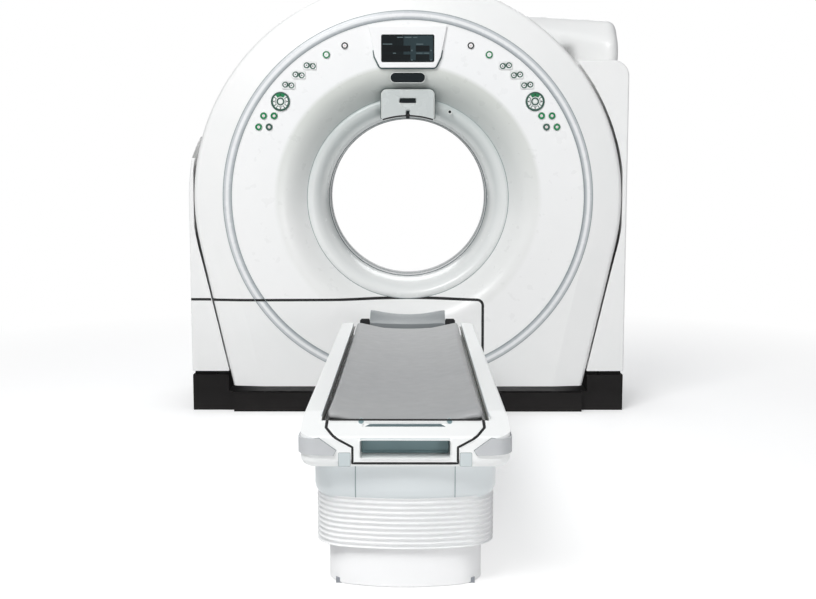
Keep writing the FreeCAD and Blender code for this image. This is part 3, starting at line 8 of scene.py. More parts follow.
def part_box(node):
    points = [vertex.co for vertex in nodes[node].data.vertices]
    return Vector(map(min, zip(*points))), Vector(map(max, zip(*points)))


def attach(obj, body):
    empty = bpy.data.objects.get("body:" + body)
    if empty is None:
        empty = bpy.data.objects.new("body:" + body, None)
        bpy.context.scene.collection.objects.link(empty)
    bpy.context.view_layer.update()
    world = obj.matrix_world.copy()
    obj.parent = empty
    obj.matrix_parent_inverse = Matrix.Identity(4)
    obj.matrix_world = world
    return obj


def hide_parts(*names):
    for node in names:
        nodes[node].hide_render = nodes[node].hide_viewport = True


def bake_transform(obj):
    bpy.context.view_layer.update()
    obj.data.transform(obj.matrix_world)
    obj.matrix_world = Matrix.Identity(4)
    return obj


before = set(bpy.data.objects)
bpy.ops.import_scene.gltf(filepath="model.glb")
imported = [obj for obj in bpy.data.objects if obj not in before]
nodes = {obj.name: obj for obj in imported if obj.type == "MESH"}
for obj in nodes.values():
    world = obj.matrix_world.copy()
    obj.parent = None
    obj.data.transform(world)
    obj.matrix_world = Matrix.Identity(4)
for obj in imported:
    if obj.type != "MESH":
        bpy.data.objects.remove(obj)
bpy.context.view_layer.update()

# ---- places and sizes taken over from the solids, in metres ----
ISO_Z = 0.980               # scan axis above the floor
BEZEL_WAIST = 0.148         # half-widths of the display bezel
BEZEL_BOTTOM = 0.124
BEZEL_WAIST_Z = ISO_Z + 0.636
BLOCK_FOOT_R = 0.3795       # circle that the foot of the alignment block follows
FOOT_SLOPE = 0.156 / 0.037  # depth for each height on the sloping foot end
TROUGH_HALF = 0.2238        # half-width between the strips of painted shade beside the mattress
REAR_FACE_Y = 0.4398        # back of the rear drum
STAND_SIDE_X = 1.0262       # outer sides of the stands
KEY_SIDES = (("left", -1), ("right", 1))

# ---- camera: the photograph's viewpoint ----
CAMERA_AT = (0.016, -5.927, 1.157)
CAMERA_DOWN = 6.57          # degrees below level
CAMERA_LENS = 53.47         # on a 36 mm sensor
CAMERA_TURN = 0.155         # degrees towards the left


def set_camera():
    data = bpy.data.cameras.new("Viewpoint")
    data.lens = CAMERA_LENS
    data.sensor_width = 36.0
    data.clip_end = 60.0
    camera = bpy.data.objects.new("Viewpoint", data)
    camera.location = CAMERA_AT
    camera.rotation_euler = (math.radians(90.0 - CAMERA_DOWN), 0.0, math.radians(CAMERA_TURN))
    bpy.context.collection.objects.link(camera)
    bpy.context.scene.camera = camera


# ---- shader groups ----
def link(tree, source, target):
    tree.links.new(source, target)


def shader_group(name, inputs, outputs):
    """An empty group with named sockets, and its two ends."""
    tree = bpy.data.node_groups.new(name, "ShaderNodeTree")
    for label, kind, default in inputs:
        socket = tree.interface.new_socket(label, in_out="INPUT", socket_type="NodeSocket" + kind)
        socket.default_value = default
    for label, kind in outputs:
        tree.interface.new_socket(label, in_out="OUTPUT", socket_type="NodeSocket" + kind)
    return tree, tree.nodes.new("NodeGroupInput"), tree.nodes.new("NodeGroupOutput")


def math_node(tree, operation, first, second=None):
    node = tree.nodes.new("ShaderNodeMath")
    node.operation = operation
    for slot, value in enumerate((first, second)):
        if value is None:
            continue
        if isinstance(value, (int, float)):
            node.inputs[slot].default_value = value
        else:
            link(tree, value, node.inputs[slot])
    return node.outputs[0]


def noise_node(tree, coordinates, scale, detail=3.0, roughness=0.5):
    node = tree.nodes.new("ShaderNodeTexNoise")
    node.inputs["Detail"].default_value = detail
    node.inputs["Roughness"].default_value = roughness
    link(tree, coordinates, node.inputs["Vector"])
    if isinstance(scale, (int, float)):
        node.inputs["Scale"].default_value = scale
    else:
        link(tree, scale, node.inputs["Scale"])
    return node.outputs["Fac"]


def spread(tree, value, low, high, to_low=0.0, to_high=1.0):
    """Map a value from one range to another, clamped."""
    node = tree.nodes.new("ShaderNodeMapRange")
    link(tree, value, node.inputs["Value"])
    for label, number in (("From Min", low), ("From Max", high), ("To Min", to_low), ("To Max", to_high)):
        if isinstance(number, (int, float)):
            node.inputs[label].default_value = number
        else:
            link(tree, number, node.inputs[label])
    return node.outputs["Result"]


def blend_colours(tree, amount, first, second):
    node = tree.nodes.new("ShaderNodeMix")
    node.data_type = "RGBA"
    link(tree, amount, node.inputs["Factor"])
    for label, value in (("A", first), ("B", second)):
        socket = [s for s in node.inputs if s.name == label and s.type == "RGBA"][0]
        if isinstance(value, tuple):
            socket.default_value = value
        else:
            link(tree, value, socket)
    return [s for s in node.outputs if s.type == "RGBA"][0]


def object_coordinates(tree):
    return tree.nodes.new("ShaderNodeTexCoord").outputs["Object"]


def split_xyz(tree, at):
    node = tree.nodes.new("ShaderNodeSeparateXYZ")
    link(tree, at, node.inputs[0])
    return node.outputs


def axis_distance(tree, at):
    """How far a point lies from the scan axis."""
    axes = split_xyz(tree, at)
    up = math_node(tree, "SUBTRACT", axes["Z"], ISO_Z)
    squares = math_node(tree, "ADD", math_node(tree, "MULTIPLY", axes["X"], axes["X"]),
                        math_node(tree, "MULTIPLY", up, up))
    return math_node(tree, "SQRT", squares)


SKIN_OUT = (("Color", "Color"), ("Roughness", "Float"), ("Height", "Float"))


def sheen(tree, start, cloud):
    """A roughness that wanders with a cloud between the group's two values."""
    return spread(tree, cloud, 0.3, 0.7, start.outputs["Rough Low"], start.outputs["Rough High"])


def put_out(tree, end, colour, roughness, height):
    for (label, _), value in zip(SKIN_OUT, (colour, roughness, height)):
        link(tree, value, end.inputs[label])


def lacquer_group():
    """Sprayed or moulded gloss skin: faint blotches, uneven sheen and orange peel."""
    tree, start, end = shader_group(
        "lacquer", (("Colour", "Color", (0.8, 0.8, 0.8, 1)), ("Shade", "Color", (0.7, 0.7, 0.7, 1)),
                    ("Blotch Scale", "Float", 3.0), ("Peel Scale", "Float", 260.0),
                    ("Rough Low", "Float", 0.3), ("Rough High", "Float", 0.4)), SKIN_OUT)
    at = object_coordinates(tree)
    blotch = spread(tree, noise_node(tree, at, start.outputs["Blotch Scale"], 5.0), 0.35, 0.75)
    haze = noise_node(tree, at, math_node(tree, "MULTIPLY", start.outputs["Blotch Scale"], 6.0), 4.0)
    put_out(tree, end, blend_colours(tree, blotch, start.outputs["Colour"], start.outputs["Shade"]),
            sheen(tree, start, haze), noise_node(tree, at, start.outputs["Peel Scale"], 1.5))
    return tree


def grain_group():
    """Textured plastic: a fine pebble over soft tonal change, dusty towards the floor."""
    tree, start, end = shader_group(
        "pebble grain", (("Colour", "Color", (0.5, 0.5, 0.5, 1)), ("Dust", "Color", (0.6, 0.6, 0.6, 1)),
                         ("Grain Scale", "Float", 900.0), ("Dust Height", "Float", 0.001),
                         ("Rough Low", "Float", 0.45), ("Rough High", "Float", 0.6)), SKIN_OUT)
    at = object_coordinates(tree)
    low = spread(tree, split_xyz(tree, at)["Z"], 0.0, start.outputs["Dust Height"], 0.5, 0.0)
    cloud = noise_node(tree, at, 14.0, 6.0, 0.65)
    mask = math_node(tree, "MULTIPLY", low, cloud)
    tone = math_node(tree, "ADD", mask, spread(tree, noise_node(tree, at, 5.0), 0.4, 0.8, 0.0, 0.06))
    cells = tree.nodes.new("ShaderNodeTexVoronoi")
    link(tree, at, cells.inputs["Vector"])
    link(tree, start.outputs["Grain Scale"], cells.inputs["Scale"])
    put_out(tree, end, blend_colours(tree, tone, start.outputs["Colour"], start.outputs["Dust"]),
            sheen(tree, start, cloud), spread(tree, cells.outputs["Distance"], 0.0, 0.6))
    return tree


def vinyl_group():
    """Coated fabric: a fine leather grain over a barely seen weave, with rubbed paler patches."""
    tree, start, end = shader_group(
        "coated fabric", (("Colour", "Color", (0.35, 0.36, 0.37, 1)), ("Rubbed", "Color", (0.4, 0.4, 0.4, 1)),
                          ("Grain Scale", "Float", 420.0), ("Weave Pitch", "Float", 1100.0),
                          ("Rough Low", "Float", 0.42), ("Rough High", "Float", 0.55)), SKIN_OUT)
    at = object_coordinates(tree)
    patch = spread(tree, noise_node(tree, at, 2.6, 4.0), 0.35, 0.7)
    cells = tree.nodes.new("ShaderNodeTexVoronoi")
    cells.feature = "SMOOTH_F1"
    link(tree, at, cells.inputs["Vector"])
    link(tree, start.outputs["Grain Scale"], cells.inputs["Scale"])
    axes = split_xyz(tree, at)
    waves = [math_node(tree, "SINE", math_node(tree, "MULTIPLY", axes[label], start.outputs["Weave Pitch"]))
             for label in ("X", "Y")]
    weave = math_node(tree, "MULTIPLY", math_node(tree, "MULTIPLY", *waves), 0.12)
    put_out(tree, end, blend_colours(tree, patch, start.outputs["Colour"], start.outputs["Rubbed"]),
            sheen(tree, start, noise_node(tree, at, 24.0, 4.0)),
            math_node(tree, "ADD", cells.outputs["Distance"], weave))
    return tree


def turned_group():
    """Metal finished on a lathe about the scan axis: fine rings of tone, sheen and depth."""
    tree, start, end = shader_group(
        "turned metal", (("Colour", "Color", (0.5, 0.5, 0.5, 1)), ("Shade", "Color", (0.4, 0.4, 0.4, 1)),
                         ("Ring Pitch", "Float", 700.0), ("Rough Low", "Float", 0.25),
                         ("Rough High", "Float", 0.4)), SKIN_OUT)
    at = object_coordinates(tree)
    pitch = start.outputs["Ring Pitch"]
    joined = tree.nodes.new("ShaderNodeCombineXYZ")
    link(tree, math_node(tree, "MULTIPLY", axis_distance(tree, at), pitch), joined.inputs["X"])
    link(tree, math_node(tree, "MULTIPLY", split_xyz(tree, at)["Y"], pitch), joined.inputs["Y"])
    rings = noise_node(tree, joined.outputs[0], 1.0, 2.0)
    cloud = noise_node(tree, at, 9.0, 3.0)
    tone = math_node(tree, "MULTIPLY", math_node(tree, "ADD", rings, cloud), 0.5)
    put_out(tree, end,
            blend_colours(tree, spread(tree, tone, 0.3, 0.7), start.outputs["Colour"],
                          start.outputs["Shade"]),
            sheen(tree, start, cloud), rings)
    return tree


def radius_group():
    """Distance from the scan axis."""
    tree, _, end = shader_group("scan radius", (), (("Radius", "Float"),))
    link(tree, axis_distance(tree, object_coordinates(tree)), end.inputs["Radius"])
    return tree


LACQUER = lacquer_group()
SCAN_RADIUS = radius_group()
PEBBLE = grain_group()
VINYL = vinyl_group()
TURNED = turned_group()


def rgb(red, green, blue):
    """A colour given as it looks on screen, 0 to 255, as linear values."""
    return tuple(((c / 255.0 + 0.055) / 1.055) ** 2.4 if c > 10 else c / 3294.6
                 for c in (red, green, blue)) + (1.0,)


def finish(name, group, values, depth, sockets=None):
    """A material whose colour, roughness and fine relief come from a group."""
    material = bpy.data.materials.new(name)
    material.use_nodes = True
    tree = material.node_tree
    shader = tree.nodes["Principled BSDF"]
    skin = tree.nodes.new("ShaderNodeGroup")
    skin.node_tree = group
    for label, value in values.items():
        skin.inputs[label].default_value = value
    bump = tree.nodes.new("ShaderNodeBump")
    bump.inputs["Strength"].default_value = 1.0
    bump.inputs["Distance"].default_value = depth
    link(tree, skin.outputs["Color"], shader.inputs["Base Color"])
    link(tree, skin.outputs["Roughness"], shader.inputs["Roughness"])
    link(tree, skin.outputs["Height"], bump.inputs["Height"])
    link(tree, bump.outputs["Normal"], shader.inputs["Normal"])
    for label, value in (sockets or {}).items():
        shader.inputs[label].default_value = value
    material.diffuse_color = tuple(values["Colour"])
    return material


def lacquered(name, colour, shade, rough=(0.3, 0.4), depth=0.00006, **sockets):
    return finish(name, LACQUER, {"Colour": colour, "Shade": shade, "Rough Low": rough[0],
                                  "Rough High": rough[1]}, depth, sockets)


def pebbled(name, colour, dust, rough=(0.45, 0.6), dust_height=0.001, grain=900.0, depth=0.0001, **sockets):
    return finish(name, PEBBLE, {"Colour": colour, "Dust": dust, "Rough Low": rough[0],
                                 "Rough High": rough[1], "Dust Height": dust_height,
                                 "Grain Scale": grain}, depth, sockets)


def ringed_skin(name, stops, rough=(0.26, 0.34), painted_light_below=0.0):
    """Lacquer whose tone changes with the distance from the scan axis, and may pale downwards as painted
    light, lighter below and darker above as if lit from above.
    """
    material = lacquered(name, stops[0][1], stops[0][1], rough)
    tree = material.node_tree
    radius = tree.nodes.new("ShaderNodeGroup")
    radius.node_tree = SCAN_RADIUS
    first, last = stops[0][0], stops[-1][0]
    ramp = tree.nodes.new("ShaderNodeValToRGB")
    link(tree, spread(tree, radius.outputs["Radius"], first, last), ramp.inputs["Fac"])
    colours = ramp.color_ramp.elements
    for number, (at, colour) in enumerate(stops):
        place = (at - first) / (last - first)
        stop = colours[number] if number < 2 else colours.new(place)
        stop.position = place
        stop.color = colour
    skin = next(node for node in tree.nodes if node.type == "GROUP" and node.node_tree == LACQUER)
    tone = ramp.outputs["Color"]
    # painted light: paled towards white from above the axis downwards, as if lit from above
    if painted_light_below:
        height = split_xyz(tree, object_coordinates(tree))["Z"]
        pale = spread(tree, height, ISO_Z + 0.44, ISO_Z - 0.12, 0.0, painted_light_below)
        tone = blend_colours(tree, pale, tone, rgb(248, 248, 247))
    link(tree, tone, skin.inputs["Colour"])
    link(tree, tone, skin.inputs["Shade"])
    return material


def greys(*rows):
    return [(radius, rgb(*colour)) for radius, colour in rows]


COVER_WHITE = lacquered("cover_white", rgb(244, 244, 243), rgb(241, 242, 241), (0.3, 0.34))
BEZEL_WHITE = lacquered("bezel_white", rgb(247, 247, 247), rgb(244, 245, 245), (0.28, 0.32))
# face_white: the dish's greys are partly its own tone and partly painted shade, set as dark as the shaded
# upper dish; paling lightens the lower part as painted light
FACE_WHITE = ringed_skin("face_white", greys((0.466, (190, 196, 194)), (0.49, (196, 201, 198)),
                                             (0.545, (202, 206, 202)), (0.592, (214, 217, 212)),
                                             (0.612, (246, 247, 247)), (0.8, (248, 248, 248))), painted_light_below=0.8)
# ring_grey: painted highlight along the middle of the trim ring and painted shade darkening both its edges,
# as on a rounded ring
RING_GREY = ringed_skin("ring_grey", greys((0.8005, (132, 140, 143)), (0.806, (172, 177, 181)),
                                           (0.812, (196, 200, 203)), (0.8165, (236, 238, 239)),
                                           (0.8255, (240, 241, 242)), (0.83, (206, 209, 212)),
                                           (0.8365, (196, 200, 203)), (0.8405, (150, 156, 160))), (0.24, 0.3))
# bore_grey: the pale band at 0.389 to 0.398 is a painted highlight, it darkens towards the bore's edge, and
# paling lightens the lower part as painted light
BORE_GREY = ringed_skin("bore_grey", greys((0.3745, (74, 90, 92)), (0.379, (112, 128, 129)),
                                           (0.3835, (176, 187, 186)), (0.389, (222, 228, 226)),
                                           (0.398, (222, 228, 226)), (0.409, (198, 206, 205)),
                                           (0.438, (208, 214, 212)), (0.466, (192, 200, 199))), (0.2, 0.28),
                        painted_light_below=0.66)
BLOCK_GREY = lacquered("block_grey", rgb(206, 211, 210), rgb(198, 204, 203), (0.22, 0.3))
LINER = lacquered("liner_film", rgb(250, 250, 250), rgb(247, 248, 248), (0.2, 0.26))
BLACK_BASE = pebbled("base_black", rgb(19, 17, 17), rgb(52, 50, 49), (0.45, 0.6), 0.1,
                     **{"Specular IOR Level": 0.18})
GASKET = pebbled("gasket_rubber", rgb(20, 20, 21), rgb(40, 40, 40), (0.6, 0.75))
SCREEN_GLASS = lacquered("screen_glass", rgb(14, 20, 22), rgb(26, 40, 43), (0.08, 0.14), 0.00001)
WINDOW_DARK = lacquered("window_dark", rgb(22, 30, 33), rgb(16, 22, 24), (0.12, 0.2), 0.00001)
STEEL_PAINT = lacquered("frame_paint", rgb(150, 154, 160), rgb(136, 140, 146), (0.4, 0.5))
TURNED_STEEL = finish("turned_steel", TURNED, {"Colour": rgb(196, 196, 198), "Shade": rgb(170, 170, 174)},
                      0.00004, {"Metallic": 1.0})
KEY_WHITE = pebbled("key_white", rgb(240, 241, 240), rgb(220, 222, 222), (0.4, 0.5), depth=0.00004)
COUCH_WHITE = lacquered("couch_white", rgb(246, 247, 246), rgb(243, 245, 244), (0.3, 0.35))
CASING_GREY = lacquered("casing_grey", rgb(228, 233, 234), rgb(222, 229, 231), (0.3, 0.36))
BELLOWS_WHITE = finish("bellows_fabric", VINYL, {"Colour": rgb(246, 247, 247), "Rubbed": rgb(249, 249, 249),
                                                 "Grain Scale": 700.0}, 0.00012, {"Sheen Weight": 0.15})
MATTRESS_GREY = finish("mattress_vinyl", VINYL, {"Colour": rgb(158, 159, 160), "Rubbed": rgb(163, 164, 164)},
                       0.00016, {"Sheen Weight": 0.1})
HEADREST_GREY = pebbled("headrest_shell", rgb(140, 145, 147), rgb(132, 137, 139), (0.4, 0.5))
CARBON = pebbled("carbon_top", rgb(30, 31, 32), rgb(44, 45, 46), (0.3, 0.4))
BUMPER_GREY = pebbled("bumper_rubber", rgb(196, 198, 200), rgb(182, 185, 188), (0.5, 0.62))
PLINTH_WHITE = lacquered("plinth_white", rgb(248, 248, 248), rgb(245, 245, 245), (0.35, 0.42))
GENERATOR_GREY = pebbled("tank_paint", rgb(120, 124, 130), rgb(104, 108, 112))
COPPER = lacquered("winding_copper", rgb(176, 108, 70), rgb(150, 88, 56), (0.35, 0.5), Metallic=0.8)

GLYPH_DARK = pebbled("glyph_black", rgb(28, 29, 30), rgb(44, 45, 46), (0.4, 0.5))
STOP_ROSE = lacquered("key_rose", rgb(232, 206, 208), rgb(222, 190, 194), (0.35, 0.45))
RING_GREEN = lacquered("key_green", rgb(16, 132, 78), rgb(8, 104, 62), (0.3, 0.4))
RING_DEEP = lacquered("key_deep_green", rgb(52, 92, 78), rgb(38, 76, 64), (0.3, 0.4))
RING_SAGE = lacquered("key_sage", rgb(92, 122, 110), rgb(74, 104, 92), (0.35, 0.45))
RING_PALE = lacquered("key_pale", rgb(226, 234, 228), rgb(206, 218, 211), (0.35, 0.45))
UI_PANEL = lacquered("field_panel", rgb(38, 52, 56), rgb(50, 66, 70), (0.12, 0.2), 0.00001)
UI_BOX = lacquered("field_box", rgb(10, 14, 16), rgb(18, 26, 28), (0.12, 0.2), 0.00001)
UI_LABEL = lacquered("field_label", rgb(96, 112, 115), rgb(76, 92, 96), (0.2, 0.3), 0.00001)
SEAM_TEAL = pebbled("seam_teal", rgb(150, 161, 161), rgb(162, 172, 172), (0.5, 0.6))
# dark strips painted as the shade in the gaps beside the mattress
TROUGH_PAINTED_SHADE = pebbled("trough_painted_shade", rgb(66, 72, 62), rgb(82, 88, 78), (0.5, 0.6))
# dark teal for real joint lines and for painted shadows under the bezel and round the alignment block
TEAL_DARK = pebbled("joint_and_painted_shadow_teal", rgb(54, 78, 80), rgb(70, 92, 94), (0.5, 0.65))
RIM_PALE = lacquered("rim_pale", rgb(232, 234, 231), rgb(222, 225, 222), (0.2, 0.28))
# teal and deeper teal painted as the shade inside the foot end's pocket, finger holes and recess
POCKET_PAINTED_SHADE = lacquered("pocket_painted_shade", rgb(122, 146, 150), rgb(104, 128, 133), (0.35, 0.45))
RECESS_PAINTED_SHADE = lacquered("recess_painted_shade", rgb(84, 104, 108), rgb(70, 90, 94), (0.35, 0.45))
COUCH_SHADE = lacquered("couch_shade", rgb(206, 214, 215), rgb(192, 202, 204), (0.3, 0.4))
JOINT_TEAL = pebbled("joint_pale_teal", rgb(140, 156, 158), rgb(150, 164, 166), (0.5, 0.6))
JOINT_GREY = pebbled("joint_grey", rgb(112, 122, 124), rgb(96, 106, 108), (0.5, 0.65))


def dress(material, *names):
    """Give CAD nodes a material."""
    for name in names:
        for place in nodes[name].material_slots:
            place.material = material


def dress_nodes():
    dress(COVER_WHITE, "front_cover", "service_panel", "rear_cover", "rear_funnel", "left_stand_covers",
          "right_cabinet_cover", "rear_housing")
    dress(FACE_WHITE, "dish_cover")
    dress(BEZEL_WHITE, "display_bezel")
    dress(RING_GREY, "trim_ring")
    dress(BORE_GREY, "bore_ring")
    dress(BLOCK_GREY, "alignment_block")
    dress(LINER, "bore_liner")
    dress(BLACK_BASE, "base_skirt", "base_frame")
    dress(GASKET, "seam_gasket")
    dress(SCREEN_GLASS, "display_screen")
    dress(WINDOW_DARK, "indicator_window")
    dress(STEEL_PAINT, "tilt_frame", "column_base", "column_stage_1", "column_stage_2", "column_top")
    dress(TURNED_STEEL, "main_bearing", "rotor_drum", "slip_ring")
    dress(GENERATOR_GREY, "xray_tube", "collimator", "detector_arc", "hv_generator")
    dress(COPPER, "drive_stator")
    dress(COUCH_WHITE, "couch_frame", "foot_insert")
    dress(CASING_GREY, "couch_casing")
    dress(PLINTH_WHITE, "table_plinth")
    dress(CARBON, "cradle")
    dress(HEADREST_GREY, "headrest")
    dress(BUMPER_GREY, "corner_bumpers")
    dress(BELLOWS_WHITE, "bellows")
    dress(MATTRESS_GREY, "mattress")
    for side, _ in KEY_SIDES:
        dress(KEY_WHITE, side + "_stop_button", side + "_start_button", side + "_arrow_pad")
        dress(KEY_WHITE, *[side + "_rocker_" + str(n) for n in (1, 2, 3)])
        dress(KEY_WHITE, *[side + "_round_button_" + str(n) for n in (1, 2, 3, 4)])


# ---- trees that repeat or sweep a shape ----
def geometry_tree(name, inputs):
    """An empty tree with a mesh coming in, named sizes and a mesh going out."""
    tree = bpy.data.node_groups.new(name, "GeometryNodeTree")
    tree.interface.new_socket("Geometry", in_out="INPUT", socket_type="NodeSocketGeometry")
    for label, kind, default in inputs:
        socket = tree.interface.new_socket(label, in_out="INPUT", socket_type="NodeSocket" + kind)
        if default is not None:
            socket.default_value = default
    tree.interface.new_socket("Material", in_out="INPUT", socket_type="NodeSocketMaterial")
    tree.interface.new_socket("Geometry", in_out="OUTPUT", socket_type="NodeSocketGeometry")
    return tree, tree.nodes.new("NodeGroupInput"), tree.nodes.new("NodeGroupOutput")


def add_node(tree, kind, settings=None, **wires):
    """A node with its settings, and its inputs wired or set by name."""
    node = tree.nodes.new(kind)
    for label, value in (settings or {}).items():
        setattr(node, label, value)
    for label, value in wires.items():
        socket = node.inputs[label.replace("_", " ")]
        if isinstance(value, bpy.types.NodeSocket):
            link(tree, value, socket)
        else:
            socket.default_value = value
    return node


def finish_tree(tree, start, end, shape, flat=False):
    """Realize, shade, give the material and put it out."""
    real = add_node(tree, "GeometryNodeRealizeInstances", Geometry=shape)
    smooth = add_node(tree, "GeometryNodeSetShadeSmooth", Geometry=real.outputs[0])
    smooth.inputs["Shade Smooth"].default_value = not flat
    coat = add_node(tree, "GeometryNodeSetMaterial", Geometry=smooth.outputs[0],
                    Material=start.outputs["Material"])
    link(tree, coat.outputs[0], end.inputs["Geometry"])
    return tree


def oval_profile(tree, start, width, sides):
    """An oval section from the tree's named width and its rise."""
    ring = add_node(tree, "GeometryNodeCurvePrimitiveCircle", Resolution=sides, Radius=0.5)
    size = add_node(tree, "ShaderNodeCombineXYZ", X=start.outputs[width], Y=start.outputs["Rise"], Z=1.0)
    return add_node(tree, "GeometryNodeTransform", Geometry=ring.outputs[0], Scale=size.outputs[0]).outputs[0]


def bead_tree():
    """A round or flattened bead along every edge chain of the mesh."""
    tree, start, end = geometry_tree("bead along a path", (
        ("Width", "Float", 0.003), ("Rise", "Float", 0.002), ("Sides", "Int", 8)))
    path = add_node(tree, "GeometryNodeMeshToCurve", Mesh=start.outputs["Geometry"])
    swept = add_node(tree, "GeometryNodeCurveToMesh", Curve=path.outputs[0], Fill_Caps=True,
                     Profile_Curve=oval_profile(tree, start, "Width", start.outputs["Sides"]))
    return finish_tree(tree, start, end, swept.outputs[0])


def ring_tree():
    """A flat printed or moulded ring about each point, facing along -Y."""
    tree, start, end = geometry_tree("ring about a point", (
        ("Radius", "Float", 0.012), ("Band", "Float", 0.004), ("Rise", "Float", 0.0008)))
    circle = add_node(tree, "GeometryNodeCurvePrimitiveCircle", Resolution=48, Radius=start.outputs["Radius"])
    band = add_node(tree, "GeometryNodeCurveToMesh", Curve=circle.outputs[0],
                    Profile_Curve=oval_profile(tree, start, "Band", 10))
    upright = add_node(tree, "GeometryNodeTransform", Geometry=band.outputs[0],
                       Rotation=(math.radians(90.0), 0.0, 0.0))
    placed = add_node(tree, "GeometryNodeInstanceOnPoints", Points=start.outputs["Geometry"],
                      Instance=upright.outputs[0])
    return finish_tree(tree, start, end, placed.outputs[0])


def fastener_tree():
    """A countersunk cap with a sunk socket on each point, turned to the point's facing."""
    tree, start, end = geometry_tree("fastener caps", (("Radius", "Float", 0.006), ("Rise", "Float", 0.002)))
    disc = add_node(tree, "GeometryNodeMeshCircle", {"fill_type": "NGON"}, Vertices=20,
                    Radius=start.outputs["Radius"])
    grown = add_node(tree, "GeometryNodeExtrudeMesh", {"mode": "FACES"}, Mesh=disc.outputs[0],
                     Offset_Scale=start.outputs["Rise"], Individual=False)
    crown = add_node(tree, "GeometryNodeScaleElements", Geometry=grown.outputs["Mesh"],
                     Selection=grown.outputs["Top"], Scale=0.82)
    ledge = add_node(tree, "GeometryNodeExtrudeMesh", {"mode": "FACES"}, Mesh=crown.outputs[0],
                     Selection=grown.outputs["Top"], Offset_Scale=0.0, Individual=False)
    socket = add_node(tree, "GeometryNodeScaleElements", Geometry=ledge.outputs["Mesh"],
                      Selection=ledge.outputs["Top"], Scale=0.5)
    sink = math_node(tree, "MULTIPLY", start.outputs["Rise"], -0.8)
    hole = add_node(tree, "GeometryNodeExtrudeMesh", {"mode": "FACES"}, Mesh=socket.outputs[0],
                    Selection=ledge.outputs["Top"], Offset_Scale=sink, Individual=False)
    facing = add_node(tree, "GeometryNodeInputNamedAttribute", {"data_type": "FLOAT_VECTOR"}, Name="facing")
    turn = add_node(tree, "FunctionNodeAlignRotationToVector", {"axis": "Z"}, Vector=facing.outputs[0])
    placed = add_node(tree, "GeometryNodeInstanceOnPoints", Points=start.outputs["Geometry"],
                      Instance=hole.outputs["Mesh"], Rotation=turn.outputs[0])
    return finish_tree(tree, start, end, placed.outputs[0], flat=True)


def slat_tree():
    """A round-ended louvre slat on each point, lying along the given direction."""
    tree, start, end = geometry_tree("louvre slats", (("Along", "Vector", (0.1, 0.0, 0.0)),
                                                      ("Width", "Float", 0.006), ("Rise", "Float", 0.003)))
    ends = []
    for share in (-0.5, 0.5):
        half = add_node(tree, "ShaderNodeVectorMath", {"operation": "SCALE"}, Scale=share)
        link(tree, start.outputs["Along"], half.inputs[0])
        ends.append(half.outputs[0])
    line = add_node(tree, "GeometryNodeCurvePrimitiveLine", Start=ends[0], End=ends[1])
    slat = add_node(tree, "GeometryNodeCurveToMesh", Curve=line.outputs[0], Fill_Caps=True,
                    Profile_Curve=oval_profile(tree, start, "Width", 10))
    placed = add_node(tree, "GeometryNodeInstanceOnPoints", Points=start.outputs["Geometry"],
                      Instance=slat.outputs[0])
    return finish_tree(tree, start, end, placed.outputs[0])


def sleeve_tree():
    """A pleated sleeve about a closed path: soft folds that bulge out between tight creases."""
    tree, start, end = geometry_tree("pleated sleeve", (
        ("Height", "Float", 0.14), ("Folds", "Float", 10.0), ("Fold Depth", "Float", 0.014),
        ("Samples", "Int", 161)))
    path = add_node(tree, "GeometryNodeMeshToCurve", Mesh=start.outputs["Geometry"])
    rise = math_node(tree, "MULTIPLY", start.outputs["Height"], -1.0)
    top = add_node(tree, "ShaderNodeCombineXYZ", X=0.0, Y=rise, Z=0.0)
    line = add_node(tree, "GeometryNodeCurvePrimitiveLine", End=top.outputs[0])
    fine = add_node(tree, "GeometryNodeResampleCurve", Curve=line.outputs[0], Count=start.outputs["Samples"])
    share = add_node(tree, "GeometryNodeSplineParameter").outputs["Factor"]
    turns = math_node(tree, "MULTIPLY", math_node(tree, "MULTIPLY", share, start.outputs["Folds"]), math.pi)
    bulge = math_node(tree, "POWER", math_node(tree, "ABSOLUTE", math_node(tree, "SINE", turns)), 0.62)
    out = math_node(tree, "MULTIPLY", math_node(tree, "SUBTRACT", 1.0, bulge), start.outputs["Fold Depth"])
    push = add_node(tree, "ShaderNodeCombineXYZ", X=out, Y=0.0, Z=0.0)
    moved = add_node(tree, "GeometryNodeSetPosition", Geometry=fine.outputs[0], Offset=push.outputs[0])
    swept = add_node(tree, "GeometryNodeCurveToMesh", Curve=path.outputs[0], Profile_Curve=moved.outputs[0])
    return finish_tree(tree, start, end, swept.outputs[0])


BEAD = bead_tree()
RING = ring_tree()
FASTENER = fastener_tree()
SLATS = slat_tree()
SLEEVE = sleeve_tree()


def plain_object(name, data):
    made = bpy.data.objects.new(name, data)
    bpy.context.collection.objects.link(made)
    return made


def evaluated_mesh(piece):
    """The mesh that an object's modifiers make of it."""
    bpy.context.view_layer.update()
    depsgraph = bpy.context.evaluated_depsgraph_get()
    return bpy.data.meshes.new_from_object(piece.evaluated_get(depsgraph))


def mesh_from(bm, name, material=None):
    mesh = bpy.data.meshes.new(name)
    bm.to_mesh(mesh)
    bm.free()
    if material is not None:
        mesh.materials.append(material)
    return mesh


def join_rows(bm, rows):
    """Quads between each closed row of vertices and the next."""
    for low, high in zip(rows, rows[1:]):
        for n in range(len(low)):
            m = (n + 1) % len(low)
            bm.faces.new((low[n], low[m], high[m], high[n]))


